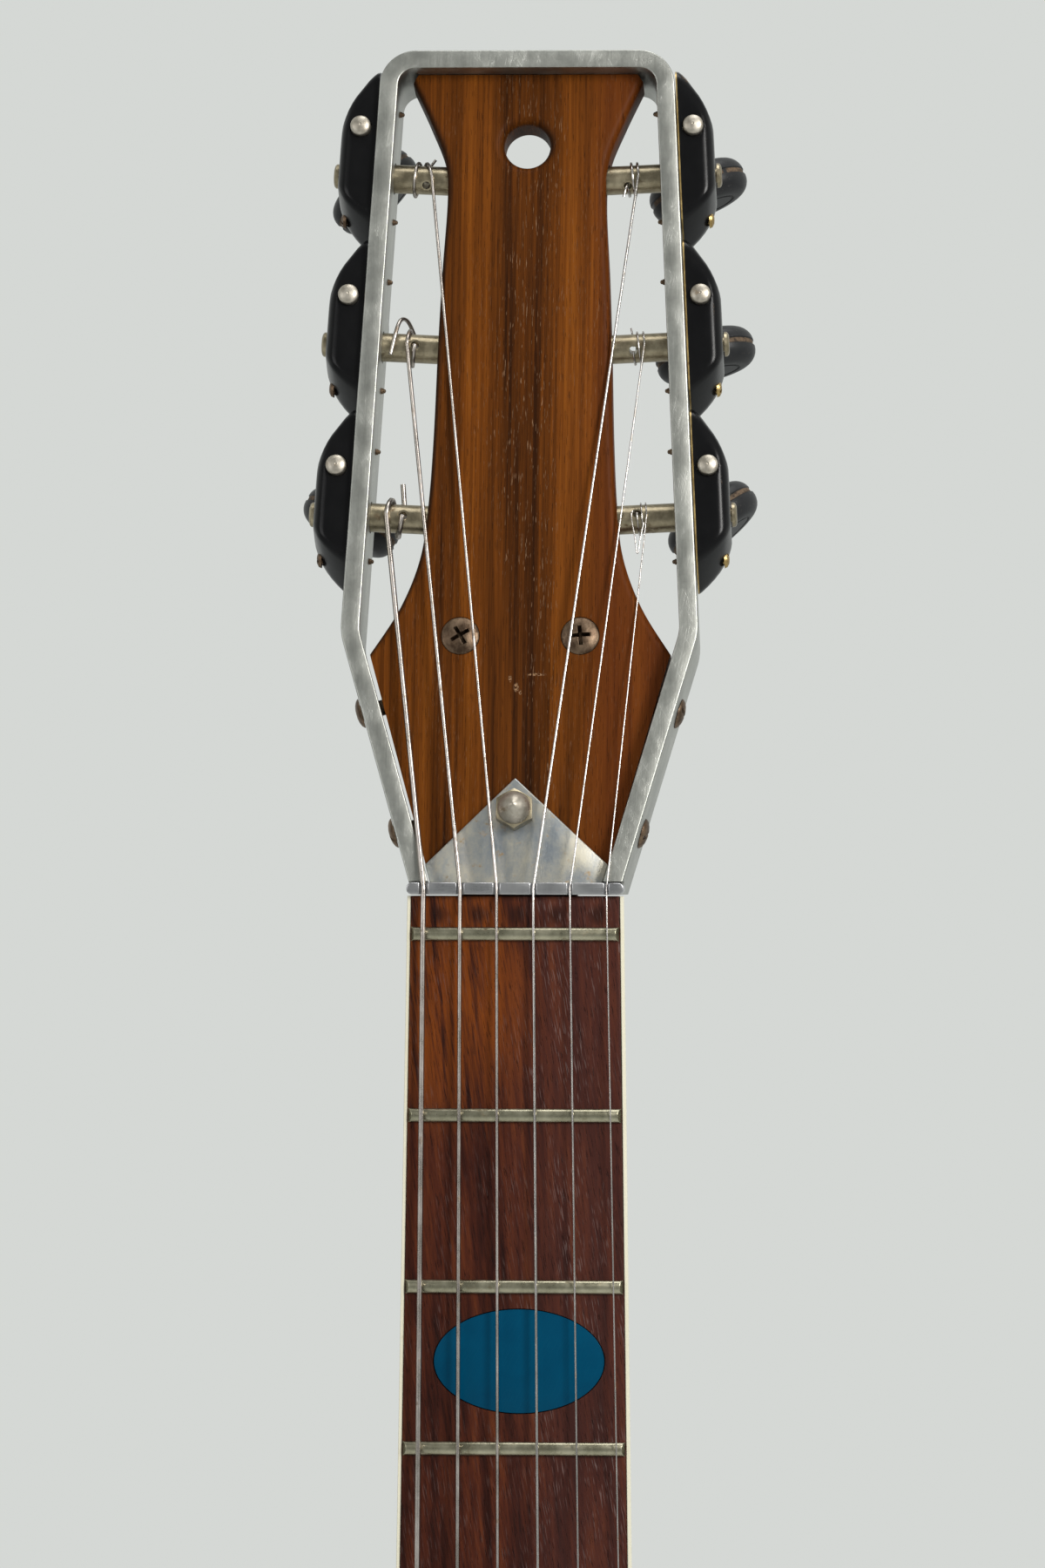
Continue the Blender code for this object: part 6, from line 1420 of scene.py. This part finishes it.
for word, z in PICKUPS.items():
    middle_x = pickup_middle(z)
    face_y = string_y(z) + 2.4 * MM
    cover = outlined(rounded_box(35 * MM, 18 * MM, 4 * MM, 8, (middle_x, z)), face_y,
                     face_y + 15 * MM)
    cover = softened(cover, 1.3 * MM, 5, 60, lambda e: all(v.co.y < face_y + MM for v in e.verts))
    seats, poles = [], []
    for index in range(6):
        spot = facing(string_x(index, z), face_y, z + 9 * MM)
        seats.append(rod(2.5 * MM, -1.3 * MM, 2 * MM, spot))
        pole = moved(small_screw(2.35 * MM, 1.1 * MM, 0.5 * index + z * 50),
                     Matrix.Translation((0, 0, -0.6 * MM)))
        poles.append(moved(pole, spot))
    piece(f"{word}_cover", carved(cover, joined(*seats)), NECK, chrome,
          stands_for=f"{word}_pickup")
    piece(f"{word}_poles", joined(*poles), NECK, bright_nickel, stands_for=f"{word}_pickup")
    ring_back = BODY_FRONT - 0.1 * MM
    ring = outlined(rounded_box(42 * MM, 21.5 * MM, 4 * MM, 8, (middle_x, z)), ring_back - 3.6 * MM,
                    ring_back)
    ring = softened(ring, 1.2 * MM, 4, 60, lambda e: all(v.co.y < ring_back - MM for v in e.verts))
    hole = outlined(rounded_box(35.3 * MM, 18.3 * MM, 4 * MM, 8, (middle_x, z)), -20 * MM, 20 * MM)
    piece(f"{word}_ring", carved(ring, hole), NECK, black_plastic,
          stands_for=f"{word}_pickup_ring")
    screws = [moved(small_screw(1.7 * MM, 0.7 * MM, 3 * a + b),
                    facing(middle_x + a * 38.6 * MM, ring_back - 3.6 * MM, z + b * 15 * MM))
              for a in (-1, 1) for b in (-1, 1)]
    piece(f"{word}_ring_screws", joined(*screws), NECK, bright_nickel,
          stands_for=f"{word}_pickup_ring")

# %% [markdown]
# ## Bridge and tailpiece
#
# The bridge stands on the top under the strings' pull: a wooden foot, two thumb wheels that set
# its height, and a metal saddle with a notch for each string. The strings end in a bar on a plate
# that is held at the tail.

# %% Make the bridge and the tailpiece
CYCLE = Matrix(((0, 1, 0, 0), (0, 0, 1, 0), (1, 0, 0, 0), (0, 0, 0, 1)))
base_low = BODY_FRONT - 0.15 * MM
arch = [(BRIDGE_SHIFT + 56 * MM * t, base_low - 4.6 * MM * (1 - 0.55 * t ** 4))
        for t in (i / 16 - 1 for i in range(33))]
section = [(BRIDGE_SHIFT + 56 * MM, base_low), (BRIDGE_SHIFT - 56 * MM, base_low)] + arch
base = moved(outlined(section, SCALE - 7.5 * MM, SCALE + 7.5 * MM), Matrix.Rotation(-QUARTER, 4, "X"))
base = softened(base, 0.8 * MM, 3, 50)
under = base_low - 4.6 * MM - 2.1 * MM
feet = [facing(BRIDGE_SHIFT + side * 30 * MM, under, -SCALE) for side in (BASS, TREBLE)]
base = carved(base, *[rod(2.35 * MM, -0.02, 3 * MM, foot, 28) for foot in feet])
piece("bridge_foot", base, NECK, board_wood, stands_for="bridge_base")

crest = -5.05 * MM
section = [(-4.5 * MM, under), (-4.5 * MM, crest + 1.6 * MM), (-1.2 * MM, crest), (0.2 * MM, crest),
           (4.5 * MM, crest + 1.6 * MM), (4.5 * MM, under)]
saddle = moved(outlined(section, BRIDGE_SHIFT - 37 * MM, BRIDGE_SHIFT + 37 * MM), CYCLE)
saddle = softened(moved(saddle, Matrix.Translation((0, 0, -SCALE))), 0.5 * MM, 3, 20)
notches = [rod((wide / 2 + 0.18) * MM, -0.02, 0.02, Matrix.Translation(
    (at_bridge[i], -5.2 * MM - wide / 2 * MM, -SCALE)), 16) for i, wide in enumerate(STRING_WIDE)]
saddle = carved(saddle, joined(*notches))
for foot in feet:
    wheel_rim = [(r * math.cos(a), r * math.sin(a)) for r, a in
                 ((6.5 * MM - (0.3 * MM if i % 2 else 0), math.tau * i / 72) for i in range(72))]
    knurled = moved(outlined(wheel_rim, 0, 1.8 * MM), Matrix.Rotation(QUARTER, 4, "X"))
    knurled = moved(knurled, foot @ Matrix.Translation((0, 0, -1.7 * MM)))
    stem = rod(2 * MM, -4.8 * MM, 0.6 * MM, foot)
    saddle = carved(carved(saddle, knurled, how="UNION"), stem, how="UNION")
piece("saddle", saddle, NECK, chrome, stands_for="bridge_saddle")

low = BODY_FRONT - 0.1 * MM
corners = mm_list([(33.6, -738), (20, -800), (-20, -800), (-24.4, -738)])
centre = Vector((BRIDGE_SHIFT / 2, -769 * MM))
window = [tuple(centre.lerp(Vector(c), 0.62)) for c in corners]
tail_plate = carved(outlined(corners, low - 1.8 * MM, low), outlined(window, low - 4 * MM, low + 4 * MM))
tail_plate = softened(tail_plate, 0.4 * MM, 2, 60)
tail_bar = block((BRIDGE_SHIFT - 33 * MM, -4.4 * MM, TAIL_BAR_Z - 4.5 * MM),
                 (BRIDGE_SHIFT + 33 * MM, low - 0.5 * MM, TAIL_BAR_Z + 4.5 * MM))
tail = carved(tail_plate, softened(tail_bar, 1.4 * MM, 5, 60), how="UNION")
holes = [rod((wide / 2 + 0.3) * MM, -0.02, 0.02, Matrix.Translation((at_bridge[i], -0.4 * MM,
             TAIL_BAR_Z)), 20) for i, wide in enumerate(STRING_WIDE)]
piece("tail", carved(tail, joined(*holes)), NECK, chrome, stands_for="tailpiece")

# %% [markdown]
# ## Controls, socket and strap buttons
#
# Knobs are moulded in black plastic with a fluted grip, and an ivory dot shows where each points.
# The rest is turned metal: the switch with its lever, the output socket and the strap buttons.

# %% Turn the controls
def on_top(x, z, depth=0.0):
    return facing(x, BODY_FRONT + depth, z)


for word, (x, z) in KNOBS.items():
    knob = turned(mm_list([(0, 15.4), (5.4, 15.4), (6.2, 16), (7.3, 16), (8.1, 15.6), (8.5, 14.8),
                           (9.1, 7.5), (9.6, 6.2), (11.2, 4.9), (12, 4.1), (12, 2.2), (11.8, 2),
                           (3, 2), (3, -8.7), (0, -8.7)]), 96)
    for v in knob.verts:
        if 7 * MM < v.co.z < 15.2 * MM and v.co.xy.length > 8 * MM:
            turn = math.atan2(v.co.y, v.co.x)
            v.co.xy *= 1 - 0.035 * (0.5 + 0.5 * math.cos(24 * turn)) ** 2
    at = NECK @ on_top(x, z)
    piece(f"{word}_grip", carved(knob, rod(1.1 * MM, 14.9 * MM, 18 * MM, Matrix.Translation(
        (0, 3.6 * MM, 0)), 28)), at, black_plastic, f"{word}_knob", f"{word}_knob")
    dot = turned(mm_list([(0, 15.55), (0.9, 15.5), (1.05, 15.3), (1.05, 14.95), (0, 14.95)]), 28)
    piece(f"{word}_dot", moved(dot, Matrix.Translation((0, 3.6 * MM, 0))), at, ivory_plastic,
          f"{word}_knob", f"{word}_knob")

switch = turned(mm_list([(3.6, 3), (7.5, 3), (7.9, 2.8), (8, 2.4), (8, 0.1), (5, 0.1), (5, -4.3),
                         (0, -4.3), (0, -2.9), (2.3, -2.9), (2.3, -0.9), (3.6, 3)]), 48)
deep = block((-7 * MM, -15 * MM, -19.3 * MM), (7 * MM, 15 * MM, -3.3 * MM))
piece("switch", carved(switch, deep, how="UNION"), NECK @ on_top(*SWITCH), bright_nickel,
      stands_for="switch_body")
lever = turned(mm_list([(0, 17), (1, 16.9), (1.8, 16.4), (2.3, 15.4), (2.7, 13.4), (2.65, 11), (2.2, 8),
                        (1.1, 7.4), (1.1, 1.7), (1.6, 0.8), (1.7, 0), (1.5, -0.8), (1, -1.36),
                        (0, -1.36)]), 36)
lever_at = on_top(*SWITCH, PLATE + GAP - 0.4 * MM - 1.36 * MM - GAP)
piece("lever", lever, NECK @ lever_at, (bright_nickel, ivory_plastic), "switch_lever",
      "switch_lever", pick=lambda at: at.z > 7.45 * MM)
socket = turned(mm_list([(3.3, 3), (3.5, 3.2), (5.2, 3.2), (5.5, 2.9), (5.5, 2.4), (7.4, 2.4), (7.8, 2.2),
                         (8, 1.8), (8, 0.1), (5.5, 0.1), (5.5, -3.3), (8, -3.3), (8, -26), (0, -26),
                         (0, -24.5), (3.3, -24.5), (3.3, 3)]), 48)
piece("socket", socket, NECK @ on_top(*JACK), chrome, stands_for="output_jack")
for word, at in BUTTONS.items():
    knob = turned(mm_list([(0, 12), (5.6, 12), (6.6, 11.7), (7, 11), (7, 9.6), (6.6, 8.9), (3.9, 7.3),
                           (3.6, 6.6), (3.6, 3.4), (3.9, 2.4), (5.4, 0.5), (5.4, 0.3), (1.8, 0.3),
                           (1.8, -11), (0, -11)]), 44)
    saw = block(mm_list([(-2.6, -0.4, 11.2)])[0], mm_list([(2.6, 0.4, 13)])[0])
    piece(f"strap_{word}", carved(knob, saw), NECK @ at, chrome,
          stands_for=f"strap_button_{word}")
for word in KNOBS:
    pot = frame["nodes"][f"{word}_pot"]
    pot.data.materials.clear()
    pot.data.materials.append(post_nickel.material)
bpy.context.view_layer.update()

# %% [markdown]
# ## The room
#
# The room is a plain pale wall. A camera ray meets it at strength 1, so it shows as the grey that is
# written here. The rays that light the guitar meet a softer, cooler sky instead. Metal would look
# flat with the same pale wall all round it, so what its mirror rays see grows darker towards the
# front, as a room does behind the photographer.

# %% Colour the room
world = bpy.data.worlds.new("studio")
bpy.context.scene.world = world
world.use_nodes = True
nodes, links = world.node_tree.nodes, world.node_tree.links
rays = nodes.new("ShaderNodeLightPath")
seen = rays.outputs["Is Camera Ray"]
for kind in ("Is Glossy Ray", "Is Transmission Ray"):
    either = nodes.new("ShaderNodeMath")
    either.operation = "MAXIMUM"
    links.new(seen, either.inputs[0])
    links.new(rays.outputs[kind], either.inputs[1])
    seen = either.outputs[0]
where = nodes.new("ShaderNodeTexCoord")
axes = nodes.new("ShaderNodeSeparateXYZ")
links.new(where.outputs["Generated"], axes.inputs[0])
room = nodes.new("ShaderNodeMapRange")
room.interpolation_type = "SMOOTHSTEP"
links.new(axes.outputs["Y"], room.inputs[0])
for socket, value in zip(room.inputs[1:5], (-0.55, 0.25, 0.42, 1.0)):
    socket.default_value = value
shown = nodes.new("ShaderNodeMath")
shown.operation = "MAXIMUM"
links.new(room.outputs[0], shown.inputs[0])
links.new(rays.outputs["Is Camera Ray"], shown.inputs[1])
tint = nodes.new("ShaderNodeVectorMath")
tint.operation = "SCALE"
tint.inputs[0].default_value = (0.665, 0.686, 0.664)
links.new(shown.outputs[0], tint.inputs["Scale"])
ambient, backdrop = nodes["Background"], nodes.new("ShaderNodeBackground")
ambient.inputs["Color"].default_value = (0.97, 0.985, 1.0, 1)
ambient.inputs["Strength"].default_value = 0.62
backdrop.inputs["Strength"].default_value = 1
links.new(tint.outputs[0], backdrop.inputs["Color"])
blend = nodes.new("ShaderNodeMixShader")
links.new(seen, blend.inputs[0])
links.new(ambient.outputs[0], blend.inputs[1])
links.new(backdrop.outputs[0], blend.inputs[2])
links.new(blend.outputs[0], nodes["World Output"].inputs["Surface"])
print("nodes in the room:", len(nodes))

# %% [markdown]
# ## Three lamps
#
# A soft lamp on the right gives the strap its bright side. A weaker one on the left keeps the covers
# from going quite black, and one above lights the top of the strap. Each is large, because a
# large lamp gives a soft shadow, as a window does.


# %% Hang the lamps
def lamp(name, where, aim, size, power, color=(1, 1, 1)):
    light = bpy.data.lights.new(name, "AREA")
    light.shape, light.size, light.size_y = "RECTANGLE", size[0], size[1]
    light.energy, light.color = power, color
    obj = bpy.data.objects.new(name, light)
    obj.location = where
    obj.rotation_euler = (Vector(where) - Vector(aim)).to_track_quat("Z", "Y").to_euler()
    bpy.context.scene.collection.objects.link(obj)


lamp("key", (1.0, -1.1, 0.5), (0, 0, -0.15), (0.45, 0.6), 22, (1, 0.985, 0.96))
lamp("fill", (-1.2, -1.2, 0.3), (0, 0, -0.15), (0.9, 0.9), 6)
lamp("top", (0.2, -0.1, 1.3), (0, 0, -0.1), (0.9, 0.6), 8)
print("lamps:", sorted(bpy.data.lights.keys()))

# %% [markdown]
# ## The camera
#
# The picture was taken with a long lens from a metre and a half away, which keeps the two sides of
# the strap nearly parallel. Place, turn and lens come from a fit: points of the head and the neck
# whose places are known were matched to where they lie in the picture.

# %% Place the camera
yaw, pitch, roll = 0.0512, 0.0107, 0.0025
forward = Vector((-math.sin(yaw) * math.cos(pitch), math.cos(yaw) * math.cos(pitch), math.sin(pitch)))
right = Vector((math.cos(yaw), math.sin(yaw), 0))
up = right.cross(forward)
right, up = (right * math.cos(roll) + up * math.sin(roll), up * math.cos(roll) - right * math.sin(roll))
lens = bpy.data.cameras.new("camera")
lens.lens, lens.sensor_fit, lens.sensor_width = 161.64, "AUTO", 36
lens.clip_start, lens.clip_end = 0.05, 20
camera = bpy.data.objects.new("camera", lens)
axes = Matrix((right, up, -forward)).transposed().to_4x4()
camera.matrix_world = Matrix.Translation((0.07367, -1.4551, -0.14655)) @ axes
bpy.context.scene.collection.objects.link(camera)
bpy.context.scene.camera = camera
bpy.context.scene.view_settings.view_transform = "Standard"
print("camera at", [round(v, 3) for v in camera.matrix_world.translation], "with", lens.lens, "mm")

# %% [markdown]
# ## The floor
#
# A plain floor in the colour of the wall, with no shine. It catches the guitar's shadow, and the
# shadow shows how high the guitar hangs.

# %% Lay the floor
FLOOR_Z = -1.03

floor_paint = Paint("floor", (0.665, 0.686, 0.664), 0.9)
bm = bmesh.new()
bmesh.ops.create_grid(bm, x_segments=1, y_segments=1, size=4)
mesh = bpy.data.meshes.new("floor")
moved(bm, Matrix.Translation((0, 0, FLOOR_Z))).to_mesh(mesh)
mesh.materials.append(floor_paint.material)
floor = bpy.data.objects.new("floor", mesh)
bpy.context.scene.collection.objects.link(floor)
